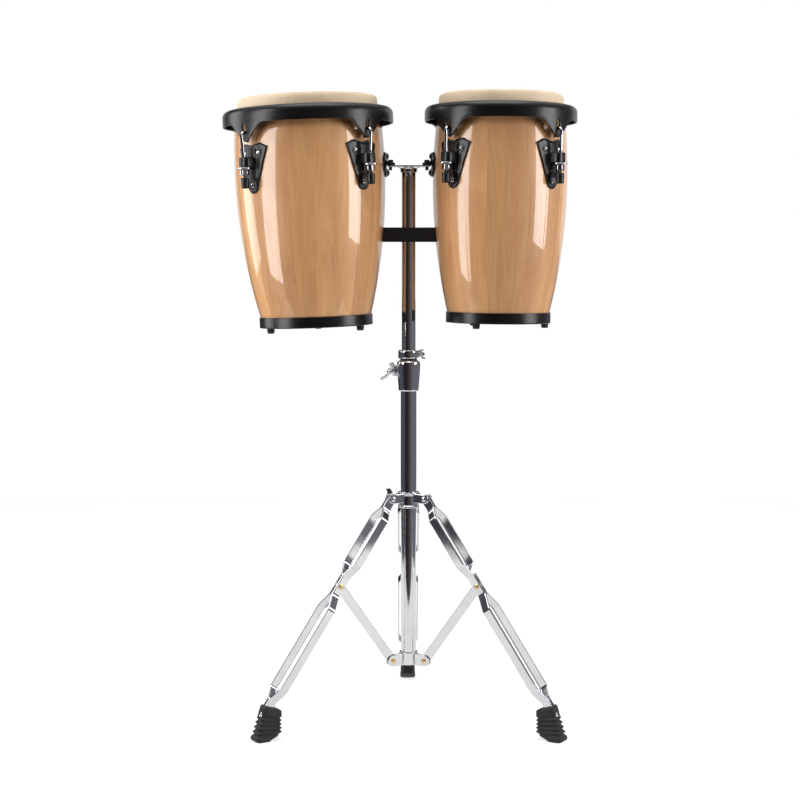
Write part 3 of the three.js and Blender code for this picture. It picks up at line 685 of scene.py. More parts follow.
def cut_out(piece, shape, where):
    """Removes a shape from a piece for good."""
    tool_mesh = shape.mesh("cutter")
    tool_mesh.transform(Matrix.Scale(MM, 4) @ where)
    tool = bpy.data.objects.new("cutter", tool_mesh)
    scene.collection.objects.link(tool)
    modifier = piece.modifiers.new("cut", "BOOLEAN")
    modifier.object = tool
    modifier.operation = "DIFFERENCE"
    modifier.solver = "EXACT"
    apply_modifiers(piece)
    bpy.data.objects.remove(tool)


def apply_modifiers(piece):
    bpy.context.view_layer.update()
    graph = bpy.context.evaluated_depsgraph_get()
    finished = bpy.data.meshes.new_from_object(piece.evaluated_get(graph))
    piece.modifiers.clear()
    piece.data = finished


def make_bottom_ring(side, size, where):
    foot = size["foot"]
    top = foot + FOOT_RING_HEIGHT
    edge = stave_radius(size, top)
    outer = edge + 1.9
    inner = stave_radius(size, foot) - SHELL_WALL - 1
    corners = [(inner, foot), (outer, foot), (outer, top), (edge + 0.2, top), (edge - 1.6, foot + 2.7)]
    profile = rounded(corners + [(inner, foot + 2.7)], [0.8, 1.6, 0.8, 0.4, 0.3, 0.8], 4)
    show(f"{side}_foot_ring", Shape().turn(profile, 128), POWDER, "mast", where, [f"{side}_bottom_ring"])
    corners = [(0, 0.5), (6, 0.5), (6, -3), (5.2, -8), (2.6, -8), (2.2, -6.4), (0, -6.4)]
    stud = rounded(corners, [0, 0.3, 0.4, 1.4, 0.4, 0.3, 0], 4, closed=False)
    for i, azimuth in enumerate(size["feet"]):
        spot = spun(azimuth) @ at(outer - 9, 0, foot)
        show(f"{side}_foot_stud_{i + 1}", Shape().turn(stud[::-1], 28, spot), RUBBER, "mast", where)
        screw = Shape().dome(1.9, 0.9, spot @ at(0, 0, -6.5) @ spun(180, "X"))
        show(f"{side}_foot_screw_{i + 1}", screw, CHROME, "mast", where)


LUG_TOP = -74.6
LUG_BOTTOM = -152.0
LUG_HALF_WIDTH = 31.0
LUG_RIVETS = ((-15.3, -90.0), (15.3, -90.0), (0.0, -139.2))


def lug_low(u):
    """A lug plate's lower edge at a distance u across it: a round tip and two straight sides."""
    tip_radius = 11
    tip_half_width = 9.9
    side_foot = LUG_BOTTOM + 6.2
    side_slope = 3.09
    u = abs(u)
    if u < tip_half_width:
        return LUG_BOTTOM + tip_radius - sqrt(tip_radius ** 2 - u * u)
    return side_foot + (u - tip_half_width) * side_slope


def lug_high(u):
    """Its upper edge, which dips between two horns and falls to the plate's corners."""
    horn = 18.3
    dip = 3.6
    fall = 6.0
    u = abs(u)
    if u > horn:
        return LUG_TOP - fall * (u - horn) / (LUG_HALF_WIDTH - horn)
    return LUG_TOP - dip * (1 - smooth(u / horn))


def on_shell(size, u, z, lift):
    """A point lifted off a shell, at a distance u round it."""
    return around(stave_radius(size, z) + lift, u / size["belly"], z)


def bent_plate(size, half_width, columns, steps, edges, gap, lift):
    """A plate bent to a shell. edges gives its lower and upper edge, lift how far its face stands out."""
    loops = []
    for i in range(columns + 1):
        u = half_width * sin(pi * (i / columns - 0.5))
        low, high = edges(u)
        levels = [low + (high - low) * k / steps for k in range(steps + 1)]
        front = [on_shell(size, u, z, gap + lift(u, z, low, high)) for z in levels]
        back = [on_shell(size, u, z, gap) for z in levels]
        loops.append(front + back[::-1])
    return Shape().net(loops)


def make_lug(side, size, index, azimuth, where):
    """A pressed steel plate bent to the shell, with the saddle that holds the tension rod."""
    place = where @ spun(azimuth)
    steel = 2.4
    gap = 0.35

    def edges(u):
        return lug_low(u), max(lug_high(u), lug_low(u) + 1.0)

    def raised(u, z):
        """How far the pressing stands out: a ridge down the middle and flat pads for the rivets."""
        ridge = 1.8 * smooth((11.5 - abs(u)) / 3.0) * smooth((z - LUG_BOTTOM - 20) / 9)
        pads = 0.0
        for pad_u, pad_z in LUG_RIVETS:
            pads += smooth((7.0 - hypot(u - pad_u, z - pad_z)) / 2.0)
        return 0.5 + ridge * (1 - min(1.0, pads)) - 0.6 * min(1.0, pads)

    def lift(u, z, low, high):
        margin = min(z - low, high - z, LUG_HALF_WIDTH - abs(u) + 0.3)
        return steel + raised(u, z) - 1.3 * (1 - smooth(margin / 1.6))

    plate = bent_plate(size, LUG_HALF_WIDTH, 40, 30, edges, gap, lift)
    rod = size["belly"] + ROD_STAND_OFF
    wall = size["belly"] - 1
    shape_out = rounded(box_outline(wall, rod + 5.5, -10, 10), [0, 8, 8, 0], 8)
    shape_in = rounded(box_outline(wall, rod + 3.1, -7.4, 7.4), [0, 6.4, 6.4, 0], 8)
    rows = []
    for z, grow in ((-112.0, -0.7), (-111.5, -0.2), (-110.7, 0), (-97.6, 0), (-96.8, -0.2), (-96.3, -0.7)):
        ring = [(x + grow * (x > wall + 1), y * (1 + grow / 11), z) for x, y in shape_out]
        less = -0.4 * grow
        hollow = [(x + less * (x > wall + 1), y * (1 + less / 8.4), z) for x, y in shape_in]
        rows.append(ring + hollow[::-1])
    plate.net(rows)
    show(f"{side}_lug_plate_{index}", plate, POWDER, "mast", place, [f"{side}_lug_{index}"], sharp=40)
    rivets = Shape()
    rings = Shape()
    seat = rounded([(3.6, 0), (5.2, 0), (4.9, 0.6), (3.6, 0.6)], 0.25, 2)
    for u, z in LUG_RIVETS:
        spot = Vector(on_shell(size, u, z, gap + steel + raised(u, z) - 0.1))
        out = Matrix.Translation(spot) @ spun(math.degrees(u / size["belly"])) @ ALONG_X
        rivets.dome(3.7, 2.1, out)
        rings.turn(seat, 28, out)
    show(f"{side}_lug_rivets_{index}", rivets, CHROME, "mast", place)
    show(f"{side}_lug_rivet_seats_{index}", rings, POWDER, "mast", place)


def make_hook(side, size, index, azimuth, where):
    place = where @ spun(azimuth)
    rod = size["belly"] + ROD_STAND_OFF
    centre = size["rim"] - 2.0
    bend = 6.6
    arc = -64.5
    points = [(centre - bend - 0.6, 0, arc - 9), (centre - bend - 0.3, 0, arc - 4), (centre - bend, 0, arc)]
    for degrees in (150, 120, 90, 60, 30, 0):
        a = radians(degrees)
        points.append((centre + bend * cos(a), 0, arc + bend * sin(a)))
    points += [(centre + bend - 0.6, 0, arc - 5), (rod + 0.6, 0, -92), (rod, 0, -96), (rod, 0, -104)]
    shape = Shape().sweep(smooth_path(points, 7), circle(ROD_RADIUS, 18))
    shape.thread(ROD_RADIUS, -134, -103.5, at(rod, 0, 0))
    body = f"{side}_tuning"
    wire = show(f"{side}_hook_wire_{index}", shape, CHROME, body, place, [f"{side}_hook_{index}"])
    HOOK_PIECES.append(wire)
    top = -127.6
    foot = -144.3
    corners = [(0, foot), (6.0, foot), (6.5, top - 1.2), (5.9, top), (3.2, top), (2.6, top - 1.4)]
    corners.append((0, top - 1.4))
    cap = rounded(corners, [0, 7.5, 0.8, 0.8, 0.5, 0.3, 0], 7, closed=False)
    show(f"{side}_hook_cap_{index}", Shape().turn(cap, 32, at(rod, 0, 0)), NYLON, body, place)


def make_nut(side, size, index, azimuth, where):
    place = where @ spun(azimuth) @ at(size["belly"] + ROD_STAND_OFF, 0, 0)
    seat = -112.3
    shape = Shape().turn(rounded(box_outline(2.9, 11.3, seat - 2.4, seat), 0.8, 4), 48)
    shape.hexagon(11.8, seat - 12.2, seat - 2.4, bore=2.85)
    body = f"{side}_turning_nut_{index}"
    show(f"{side}_hex_nut_{index}", shape, CHROME, body, place, [f"{side}_nut_{index}"])


# ---- drum brackets

def make_bracket(side, size, where):
    """The plate on the shell that hangs on the crossbar, with its two screws."""
    steel = 2.6
    gap = 0.3
    half_width = 26
    place = where @ spun(0 if side == "left" else 180)
    screw_low, screw_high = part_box(f"{side}_bracket_screw")
    level = (place.inverted() @ ((screw_low + screw_high) / 2 / MM)).z + 1.0

    def edges(u):
        reach = 19.5 - 9 * smooth((abs(u) - 10) / 16)
        return level - reach, level + reach

    def lift(u, z, low, high):
        margin = min(z - low, high - z, half_width - abs(u))
        boss = 1.8 * smooth((8 - hypot(u, abs(z - level) - 13)) / 3)
        return steel + boss - 1.2 * (1 - smooth(margin / 1.8))

    plate = bent_plate(size, half_width, 30, 24, edges, gap, lift)
    show(f"{side}_bracket_plate", plate, POWDER, "mast", place, [f"{side}_bracket"], sharp=40)
    screws = Shape()
    for offset in (-13, 13):
        spot = Vector(on_shell(size, 0, level + offset, gap + steel + 1.5))
        screws.dome(4.6, 2.6, Matrix.Translation(spot) @ ALONG_X)
    show(f"{side}_bracket_screws", screws, POWDER, "mast", place)
    make_ledge(side)


def make_ledge(side):
    """The bracket's ledge on the crossbar, in the row frame, with the bolt through it."""
    bar_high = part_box("crossbar_plate")[1]
    screw_low, screw_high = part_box(f"{side}_bracket_screw")
    centre = (screw_low + screw_high) / 2 / MM
    bottom = bar_high.z / MM + 0.3
    inward = 1 if side == "left" else -1
    wall = centre.x - inward * 8.4
    tip = centre.x + inward * 7.4
    near, far = min(wall, tip), max(wall, tip)
    outline = rounded(box_outline(near, far, -13, 13), 4.0, 5)
    ledge = Shape().slab(outline, bottom, bottom + 4, at(0, centre.y, 0), 0.8)
    gusset = [(wall, bottom + 3.5), (wall + inward * 6, bottom + 3.5), (wall, bottom + 11)]
    gusset = gusset if inward == 1 else gusset[::-1]
    for y in (-9.6, 12.6):
        ledge.slab(gusset, 0, 3, at(0, centre.y + y, 0) @ STOOD, 0.5)
    show(f"{side}_bracket_ledge", ledge, POWDER, "mast", UP)
    seat = bottom + 4.3
    screw = Shape().hexagon(8.6, seat + 0.9, seat + 4.5, at(centre.x, centre.y, 0))
    screw.rod(4.8, seat, seat + 1.0, at(centre.x, centre.y, 0), 0.3)
    screw.thread(2.8, seat - 12, seat + 0.5, at(centre.x, centre.y, 0))
    show(f"{side}_bracket_bolt", screw, POWDER, f"{side}_screw", UP, [f"{side}_bracket_screw"])


def make_drum(side):
    size = DRUM_SIZES[side]
    where = drum_frame(side)
    for make in (make_shell, make_head, make_rim, make_bottom_ring, make_bracket):
        make(side, size, where)
    for index, azimuth in enumerate(EAR_AZIMUTHS, 1):
        for make in (make_lug, make_hook, make_nut):
            make(side, size, index, azimuth, where)


# ---- stand

AXIS = Vector(joints["mast_swivel"]["pos_m"]) / MM
STAND = at(AXIS.x, AXIS.y, 0)
BASE_TUBE_RADIUS = 12.7
UPPER_TUBE_RADIUS = 11.1
LEG_SLOPE = 54.6
LEG_MID = 165.0
STRAP_DEPTH = 3.0
STRAP_HALF_WIDTH = 7.25
PINCHED = 4.8                      # half the distance between a leg's straps at its rivets
SPREAD = 18.0                      # and between the rivets
STRAP_STATIONS = [
    (-STRAP_HALF_WIDTH, PINCHED), (20, PINCHED), (37, SPREAD), (125, SPREAD), (146, PINCHED), (181, PINCHED),
    (205, SPREAD), (353, SPREAD), (373, PINCHED), (404, PINCHED),
]


def heights(node):
    low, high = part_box(node)
    return low.z / MM, high.z / MM


def make_tubes():
    base = ("base_tube", "base", BASE_TUBE_RADIUS, 1.0, 0.3)
    upper = ("upper_tube", "mast", UPPER_TUBE_RADIUS, 1.5, 0.4)
    for name, body, radius, wall, edge in (base, upper):
        ring = rounded(box_outline(radius - wall, radius, *heights(name)), edge, 2)
        show(f"{name}_chrome", Shape().turn(ring, 96), CHROME, body, STAND, [name])


def make_crossbar():
    low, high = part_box("crossbar_plate")
    low, high = low / MM, high / MM
    bottom = high.z - 2.3
    outline = rounded(box_outline(low.x, high.x, low.y + 0.9, high.y - 0.9), 5, 6)
    bar = Shape().slab(outline, bottom, high.z, UP, 0.5)
    socket = [(11.4, bottom - 9), (13.0, bottom - 9), (13.4, bottom - 4.5), (14.2, bottom - 2.2)]
    socket += [(16.4, bottom - 0.7), (18.5, bottom + 0.2), (11.4, bottom + 0.2)]
    bar.turn(rounded(socket, [0.2, 0.7, 1.5, 1, 1, 0.2, 0.2], 3), 72, STAND)
    show("crossbar_chrome", bar, CHROME, "mast", UP, ["crossbar_plate"])


def make_spacer():
    """The CAD model's own spacer bar with its edges rounded."""
    made = frame["nodes"]["spacer_bar"].data.copy()
    made.materials.clear()
    made.materials.append(FOAM)
    work = bmesh.new()
    work.from_mesh(made)
    bmesh.ops.remove_doubles(work, verts=work.verts, dist=1e-6)
    bmesh.ops.dissolve_limit(work, angle_limit=radians(4), verts=work.verts, edges=work.edges)
    work.to_mesh(made)
    work.free()
    piece = bpy.data.objects.new("spacer_block", made)
    scene.collection.objects.link(piece)
    bevel = piece.modifiers.new("bevel", "BEVEL")
    bevel.width = 1.6 * MM
    bevel.segments = 3
    bevel.limit_method = "ANGLE"
    bevel.angle_limit = radians(40)
    apply_modifiers(piece)
    piece.data.shade_smooth()
    piece.data.set_sharp_from_angle(angle=radians(32))
    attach(piece, "mast")
    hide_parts("spacer_bar")


def wing_outline(hub_radius, hub_height, span, rise):
    """One wing on each side of a hub, seen flat: X across, Y along the screw."""
    half = [
        (0, 1.2), (span * 0.45, hub_height * 0.30), (span * 0.80, rise * 0.38), (span, rise * 0.72),
        (span * 0.96, rise), (span * 0.68, rise * 1.02), (hub_radius * 1.35, hub_height * 0.92),
        (0, hub_height - 0.8),
    ]
    cuts = [0, span * 0.2, span * 0.15, span * 0.14, span * 0.12, span * 0.12, span * 0.15, 0]
    mirror = [(-x, y) for x, y in half[1:-1]][::-1]
    return rounded(half + mirror, cuts + cuts[1:-1][::-1], 4)


def wing_nut(shape, where, hub_radius, hub_height, span, rise):
    profile = [(0, 0), (hub_radius, 0), (hub_radius * 0.86, hub_height * 0.75)]
    profile += [(hub_radius * 0.72, hub_height), (0, hub_height)]
    shape.turn(rounded(profile, [0, 0.8, 1.2, 0.8, 0], 3, closed=False), 32, where)
    shape.slab(wing_outline(hub_radius, hub_height, span, rise), -1.5, 1.5, where @ STOOD, 1.2)


def screw_frame(joint, offset):
    """A frame whose Z runs along a screw joint's axis, out of its head, offset along it."""
    turn = joints[joint]
    axis = Vector(turn["axis"]).normalized()
    made = axis.to_track_quat("Z", "Y").to_matrix().to_4x4()
    made.translation = Vector(turn["pos_m"]) / MM + axis * offset
    return made


def ring_ears(shape, reach, radius, slit, thickness, z, where):
    """The two ears of a split ring, on X, with their rounded ends."""
    for side in (1, -1):
        near = slit if side == 1 else -slit - thickness
        outline = stadium(12, reach, radius, 12)
        shape.slab(outline, near, near + thickness, where @ at(0, 0, z) @ spun(90, "X"), 1.0)


def bolt_height(joint):
    return joints[joint]["pos_m"][2] / MM


def make_height_clamp():
    low, high = heights("height_clamp")
    profile = rounded([
        (13.0, low), (15.6, low), (16.2, low + 2), (18.9, high - 9), (18.6, high - 2), (16.5, high),
        (14.4, high), (14.2, high - 23), (13.0, high - 23.6),
    ], [0.3, 0.8, 2, 5, 3, 1, 0.4, 0.4, 0.3], 5)
    facing = STAND @ spun(135)
    clamp = Shape().turn(profile, 96, facing, start=4.6, sweep=350.8)
    ring_ears(clamp, 27, 8.8, 1.6, 4.4, bolt_height("clamp_bolt_turn"), facing)
    show("height_clamp_casting", clamp, CHROME, "base", UP, ["height_clamp"])
    bolt = Shape().thread(3.0, -19.5, 8, screw_frame("clamp_bolt_turn", -1.5))
    nut_frame = screw_frame("clamp_bolt_turn", -3.4)
    wing_nut(bolt, nut_frame @ spun(50), 5.8, 10.5, 20, 18)
    bolt.turn(rounded(box_outline(3.2, 7, -2.2, -0.4), 0.5, 3), 32, nut_frame)
    bolt.dome(3.0, 1.2, screw_frame("clamp_bolt_turn", 6.6))
    show("clamp_wing_screw", bolt, CHROME, "clamp_bolt", UP, ["clamp_wing_bolt"])
    head = Shape().hexagon(10.5, -4.5, -0.3, screw_frame("clamp_bolt_turn", -18.2))
    show("clamp_square_nut", head, CHROME, "base", UP)
    seat, lip = heights("clamp_bushing")
    sleeve = rounded([
        (11.4, seat), (13.9, seat), (13.9, lip - 0.8), (13.0, lip), (11.4, lip),
    ], [0.3, 0.4, 0.6, 0.5, 0.5], 3)
    show("clamp_sleeve", Shape().turn(sleeve, 72), NYLON, "swivel", STAND, ["clamp_bushing"])


def make_memory_lock():
    middle = bolt_height("lock_bolt_turn")
    low, high = middle - 6.6, middle + 6.6
    facing = STAND @ spun(45)
    profile = rounded([
        (11.4, low), (14.6, low), (15.2, low + 2), (15.2, high - 2), (14.6, high), (11.4, high),
    ], [0.3, 0.8, 1, 1, 0.8, 0.3], 4)
    lock = Shape().turn(profile, 72, facing, start=5.2, sweep=349.6)
    ring_ears(lock, 19, 6.0, 1.4, 3.8, middle, facing)
    lock.rod(3.6, low, high, STAND @ at(-13.2, 0, 0), 0.8)
    show("memory_lock_ring", lock, CHROME, "mast", UP, ["memory_lock"])
    pin = Shape().dome(2.0, 0.9, STAND @ at(-14.4, 0, high))
    pin.dome(2.0, 0.9, STAND @ at(-14.4, 0, low) @ spun(180, "X"))
    show("memory_lock_pin", pin, CHROME, "mast", UP)
    bolt = Shape().thread(3.0, -15, 5, screw_frame("lock_bolt_turn", 0))
    wing_nut(bolt, screw_frame("lock_bolt_turn", -4) @ spun(110), 4.3, 6.5, 9, 11)
    show("memory_lock_key_bolt", bolt, CHROME, "lock_bolt", UP, ["memory_lock_bolt"])


def leg_frame(name):
    """A frame that stands on the tube's axis, with X towards a leg."""
    axis = joints[f"{name}_leg_hinge"]["axis"]
    return STAND @ spun(math.degrees(math.atan2(-axis[0], axis[1])))


def eared_ring(shape, pivot_r, pivot_z, radius, near, far, root):
    """Pairs of round-ended ears on a ring, one pair for each leg."""
    outline = stadium(root, pivot_r, radius, 14)
    for name in LEG_NAMES:
        where = leg_frame(name) @ at(0, 0, pivot_z) @ STOOD
        shape.slab(outline, near, far, where, 0.8)
        shape.slab(outline, -far, -near, where, 0.8)


def pair_of_heads(shape, where, half_span, radius, height):
    """Rivet heads on both ends of a pin along Y."""
    shape.dome(radius, height, where @ at(0, half_span, 0) @ spun(-90, "X"))
    shape.dome(radius, height, where @ at(0, -half_span, 0) @ spun(90, "X"))
    shape.rod(2.7, -half_span, half_span, where @ spun(90, "X"))


def pivot_place(joint):
    """Distance from the tube and height of a hinge."""
    spot = Vector(joints[joint]["pos_m"]) / MM - AXIS
    return hypot(spot.x, spot.y), spot.z + AXIS.z


def make_leg_collar():
    low, high = heights("leg_collar")
    profile = rounded([
        (13.0, low), (17.6, low), (17.6, low + 2.6), (15.4, low + 4.4), (15.4, high - 4.4),
        (17.6, high - 2.6), (17.6, high), (13.0, high),
    ], [0.3, 1.2, 1.2, 1.5, 1.5, 1.2, 1.2, 0.3], 4)
    collar = Shape().turn(profile, 96, STAND)
    pivot_r, pivot_z = pivot_place("left_leg_hinge")
    eared_ring(collar, pivot_r, pivot_z, 7.6, PINCHED + 0.4, PINCHED + 2.9, 15)
    facing = screw_frame("collar_bolt_turn", 0)
    collar.turn(rounded(box_outline(3.2, 6, -12.5, -6), 0.6, 3), 32, facing)
    show("leg_collar_steel", collar, CHROME, "collar", UP, ["leg_collar"])
    rivets = Shape()
    for name in LEG_NAMES:
        pair_of_heads(rivets, leg_frame(name) @ at(pivot_r, 0, pivot_z), PINCHED + 2.9, 4.4, 1.9)
    show("leg_collar_rivets", rivets, CHROME, "collar", UP)
    screw = Shape().thread(2.9, -13.3, 1, facing)
    wing_nut(screw, facing @ spun(90), 5.3, 9, 17, 15)
    show("collar_wing_screw", screw, CHROME, "collar_bolt", UP, ["collar_wing_bolt"])


def make_bottom_hub():
    pivot_r, pivot_z = pivot_place("left_brace_hinge")
    top = pivot_z + 12
    bottom = pivot_z - 9
    profile = rounded([
        (0, bottom), (13.6, bottom), (15.3, bottom + 1.6), (15.3, top), (13.0, top),
        (13.0, bottom + 2.2), (0, bottom + 2.2),
    ], [0, 1.4, 1.4, 0.6, 0.3, 0.3, 0], 4, closed=False)
    hub = Shape().turn(profile, 96, STAND)
    eared_ring(hub, pivot_r, pivot_z, 9.6, 1.9, 4.4, 12)
    show("bottom_hub_steel", hub, CHROME, "base", UP, ["bottom_hub"])
    rivets = Shape()
    for name in LEG_NAMES:
        pair_of_heads(rivets, leg_frame(name) @ at(pivot_r, 0, pivot_z), 4.4, 4.2, 1.7)
    show("bottom_hub_rivets", rivets, BRASS, "base", UP)


def strap_section(width_share):
    """A shallow channel: across the strap, and how far inside its outer face."""
    w = STRAP_HALF_WIDTH * width_share
    lip = min(1.5, 0.4 * w)
    half = [
        (-w + 1.6 * width_share, 0.0), (-w + width_share, 0.0), (-w + 0.3, 0.35), (-w, 1.1),
        (-w, STRAP_DEPTH - 0.3), (-w + 0.3, STRAP_DEPTH), (-w + lip - 0.2, STRAP_DEPTH),
        (-w + lip, STRAP_DEPTH - 0.3), (-w + lip, 1.9), (-w + lip + 0.5, 1.5),
    ]
    return half + [(-n, depth) for n, depth in half[::-1]]


def make_strap(name, letter, side, where):
    path = rounded(STRAP_STATIONS, 3.2, 4, closed=False)
    dense = []
    for (s0, t0), (s1, t1) in zip(path, path[1:]):
        count = max(1, int((s1 - s0) / 12))
        dense += [(s0 + (s1 - s0) * k / count, t0 + (t1 - t0) * k / count) for k in range(count)]
    dense.append(path[-1])
    first = STRAP_STATIONS[0][0]
    ends = [first + STRAP_HALF_WIDTH * (1 - cos(radians(a))) for a in range(10, 90, 10)]
    dense = [(s, PINCHED) for s in ends] + [p for p in dense if p[0] > 0]
    rows = []
    for s, t in dense:
        share = sqrt(max(0.03, 1 - (min(s, 0) / STRAP_HALF_WIDTH) ** 2))
        rows.append([(s, side * (t - depth), n) for n, depth in strap_section(share)])
    replaced = [f"{name}_leg_strap_{letter}"]
    show(f"{name}_strap_{letter}", Shape().net(rows), CHROME, f"{name}_leg", where, replaced, sharp=28)


def make_boot(name, where):
    """A ribbed rubber foot, drawn in the leg's upright plane: X from the tube, Z the height."""
    def outer_edge(z):
        return 282.6 - 3.0 * smooth((4 - z) / 4) ** 2 - 0.32 * max(0, z - 6) - 1.2 * smooth((z - 38) / 8)

    def inner_edge(z):
        return 235.0 + 21 * (1 - smooth(min(z, 13) / 13)) ** 1.5

    def ring(outer, inner, half, z_outer, z_inner, sides=64, power=0.42):
        row = []
        for k in range(sides):
            a = 2 * pi * k / sides
            c, s = cos(a), sin(a)
            x = math.copysign(abs(c) ** power, c)
            y = math.copysign(abs(s) ** power, s)
            radius = (outer + inner) / 2 + (outer - inner) / 2 * x
            level = (z_outer + z_inner) / 2 + (z_outer - z_inner) / 2 * x
            row.append((radius, half * y, level))
        return row

    rows = []
    ribs = 5
    rib_low, rib_high = 7.5, 44.0
    steps = 90
    for i in range(steps + 1):
        z = 56.5 * i / steps
        t = (z - rib_low) / (rib_high - rib_low)
        wave = 0.0
        if 0 < t < 1:
            phase = (t * ribs) % 1
            wave = 3.2 * (0.5 - 0.5 * cos(2 * pi * phase)) ** 0.7
        crown = 2.0 * (1 - sqrt(max(0, 1 - smooth((z - 52) / 4.5) ** 2))) if z > 52 else 0
        sole = 1.2 * (1 - smooth(z / 2.0))
        outer = outer_edge(z) - wave - crown - sole
        inner = inner_edge(z * 0.83) + wave * 0.8 + crown
        half = 13.8 - 0.045 * z - wave * 0.75 - crown - sole
        rows.append(ring(outer, inner, half, z, z * 0.83))
    show(f"{name}_rubber_boot", Shape().net(rows), RUBBER, f"{name}_leg", where, [f"{name}_boot"], sharp=60)


def make_leg(name):
    upright = leg_frame(name)
    pivot_r, pivot_z = pivot_place(f"{name}_leg_hinge")
    along = upright @ at(pivot_r, 0, pivot_z) @ spun(LEG_SLOPE, "Y")
    make_strap(name, "a", 1, along)
    make_strap(name, "b", -1, along)
    rivets = Shape()
    for side in (1, -1):
        spot = along @ at(LEG_MID, side * PINCHED, 0) @ spun(-90 * side, "X")
        rivets.dome(4.4, 1.9, spot)
    show(f"{name}_leg_rivet_heads", rivets, BRASS, f"{name}_leg", UP)
    make_boot(name, upright)
    make_brace(name, upright, pivot_r, pivot_z)


def make_brace(name, upright, pivot_r, pivot_z):
    hub_r, hub_z = pivot_place(f"{name}_brace_hinge")
    slope = radians(LEG_SLOPE)
    rise = pivot_z - LEG_MID * sin(slope) - hub_z
    run = pivot_r + LEG_MID * cos(slope) - hub_r
    where = upright @ at(hub_r, 0, hub_z) @ spun(-math.degrees(math.atan2(rise, run)), "Y")
    outline = stadium(0, hypot(rise, run), 7.5, 14)
    shape = Shape().slab(outline, -1.5, 1.5, where @ STOOD, 0.7)
    show(f"{name}_brace_strap", shape, CHROME, f"{name}_strut", UP, [f"{name}_brace"])


# ---- studio

CAMERA_BACK = 2.65                 # metres in front of the tube
CAMERA_HEIGHT = 0.755
CAMERA_LEFT = 0.014
CAMERA_PITCH = 4.95
CAMERA_LENS = 73.7
# The dim room round the stand, from its left side to its right side, and the ceiling over it.
ROOM_WALLS = (
    (0.0, (0.13, 0.13, 0.15)), (0.12, (0.035, 0.033, 0.042)), (0.32, (0.030, 0.022, 0.024)),
    (0.5, (0.085, 0.058, 0.050)), (0.66, (0.12, 0.10, 0.10)), (0.8, (0.20, 0.20, 0.23)),
    (1.0, (0.22, 0.22, 0.25)),
)
ROOM_CEILING = 1.3
# Tall panels beside the stand: centre, target, width, radiance, roll, and where each starts for the
# drums, starts for the rest and ends.
TALL_PANELS = (
    ("left_panel", (-1.20, -0.67, 0.93), (-0.10, -0.10, 0.93), 0.52, 7.0, -12, (-0.65, -0.31, 0.65)),
    ("right_panel", (2.12, -0.74, 0.95), (0, -0.10, 0.95), 0.95, 8.0, 0, (-0.55, -0.33, 0.55)),
    ("back_left_panel", (-1.50, 0.32, 1.05), (-0.25, -0.1, 1.05), 0.6, 4.0, 0, (-0.62, -0.42, 0.55)),
)


def make_camera():
    data = bpy.data.cameras.new("camera")
    data.lens = CAMERA_LENS
    data.sensor_width = 36
    camera = bpy.data.objects.new("camera", data)
    camera.location = (AXIS.x * MM - CAMERA_LEFT, AXIS.y * MM - CAMERA_BACK, CAMERA_HEIGHT)
    camera.rotation_euler = (radians(90 - CAMERA_PITCH), 0, 0)
    scene.collection.objects.link(camera)
    scene.camera = camera


def soft_box(name, centre, target, width, low, high, radiance, roll=0.0, only=None, mirrored=True):
    """A panel of light from low to high, measured in metres along its own upright line."""
    data = bpy.data.lights.new(name, "AREA")
    data.shape = "RECTANGLE"
    data.size = width
    data.size_y = high - low
    data.energy = radiance * pi * width * (high - low)
    light = bpy.data.objects.new(name, data)
    aim = Vector(target) - Vector(centre)
    facing = aim.to_track_quat("-Z", "Y").to_matrix() @ Matrix.Rotation(radians(roll), 3, "Z")
    light.location = Vector(centre) + facing @ Vector((0, (low + high) / 2, 0))
    light.rotation_mode = "QUATERNION"
    light.rotation_quaternion = facing.to_quaternion()
    light.visible_camera = False
    light.visible_glossy = mirrored
    scene.collection.objects.link(light)
    if only is not None:
        light.light_linking.receiver_collection = only


def make_floor():
    """A lit white sheet under the stand. The camera sees it as white as the walls behind it."""
    data = bpy.data.meshes.new("floor")
    front, back, side = -0.98, 2.4, 1.35
    data.from_pydata([(x, y, 0) for x, y in box_outline(-side, side, front, back)], [], [(0, 1, 2, 3)])
    floor = bpy.data.objects.new("floor", data)
    scene.collection.objects.link(floor)
    paint = Paint("floor", Roughness=0.85, Specular_IOR_Level=0.2)
    paint.shader.inputs["Emission Color"].default_value = (1, 1, 1, 1)
    paint.shader.inputs["Emission Strength"].default_value = 0.61
    tone = paint.noise(paint.place(), 3.0, 2.0)
    paint.send(paint.ramp(tone, (0.3, grey(0.38)), (0.7, grey(0.41))), "Base Color")
    data.materials.append(paint.material)


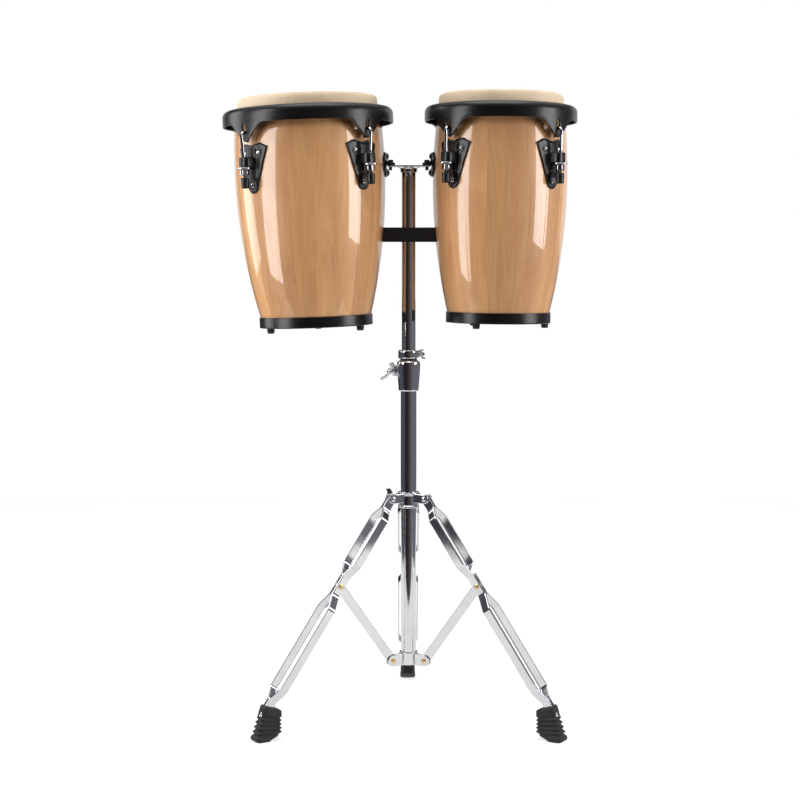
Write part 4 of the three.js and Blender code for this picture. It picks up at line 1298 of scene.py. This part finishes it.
def make_world():
    """A dim room under a white ceiling, which lights the drums. The camera sees plain white."""
    world = bpy.data.worlds.new("studio")
    scene.world = world
    world.use_nodes = True
    tree = world.node_tree
    seen = tree.nodes["Background"]
    seen.inputs["Color"].default_value = (1, 1, 1, 1)
    writer = Nodes(tree)
    direction = writer.node("ShaderNodeTexCoord").outputs["Generated"]
    parts = writer.node("ShaderNodeSeparateXYZ", {0: direction}).outputs
    above = writer.spread(parts["Z"], 0.0, 1.0, 0.40, 0.90)
    walls = writer.ramp(writer.spread(parts["X"], 0.0, 1.0, -1.0, 1.0), *ROOM_WALLS)
    room = writer.mix(above, walls, (*grey(ROOM_CEILING), 1))
    lit = writer.node("ShaderNodeBackground", {"Color": room})
    camera_ray = writer.node("ShaderNodeLightPath").outputs["Is Camera Ray"]
    choice = writer.node("ShaderNodeMixShader", {0: camera_ray, 1: lit.outputs[0], 2: seen.outputs[0]})
    tree.links.new(choice.outputs[0], tree.nodes["World Output"].inputs["Surface"])


def make_studio():
    scene.view_settings.view_transform = "Standard"
    make_camera()
    make_floor()
    make_world()
    drums_only = bpy.data.collections.new("lit_by_low_panels")
    for piece in DRUM_PIECES:
        drums_only.objects.link(piece)
    all_but_hooks = bpy.data.collections.new("shaded_from_panels")
    for piece in HOOK_PIECES:
        all_but_hooks.objects.link(piece)
    for member in all_but_hooks.collection_objects:
        member.light_linking.link_state = "EXCLUDE"
    receivers = {"left_panel": all_but_hooks, "back_left_panel": all_but_hooks}
    for name, centre, target, width, radiance, roll, (foot, low, high) in TALL_PANELS:
        panel = (centre, target, width)
        soft_box(name, *panel, low, high, radiance, roll, receivers.get(name))
        soft_box(f"{name}_foot", *panel, foot, low, radiance, roll, drums_only)
    soft_box("back_panel", (0.2, 1.6, 1.1), (0, 0, 1.1), 3.4, -0.46, 0.5, 0.7)
    soft_box("right_fill", (1.8, -1.0, 1.0), (0, 0, 0.9), 1.2, -0.75, 0.75, 3.2, mirrored=False)
    soft_box("left_fill", (-2.2, -0.4, 1.0), (0, 0, 0.9), 1.2, -0.75, 0.75, 2.6, mirrored=False)
    soft_box("top_panel", (0, -0.4, 3.0), (0, 0, 0.6), 2.0, -0.8, 0.8, 3.2)


# ---- everything

for drum_side in DRUM_SIDES:
    make_drum(drum_side)
for make_part in (
    make_tubes, make_crossbar, make_spacer, make_height_clamp, make_memory_lock, make_leg_collar,
    make_bottom_hub,
):
    make_part()
for leg in LEG_NAMES:
    make_leg(leg)
make_studio()
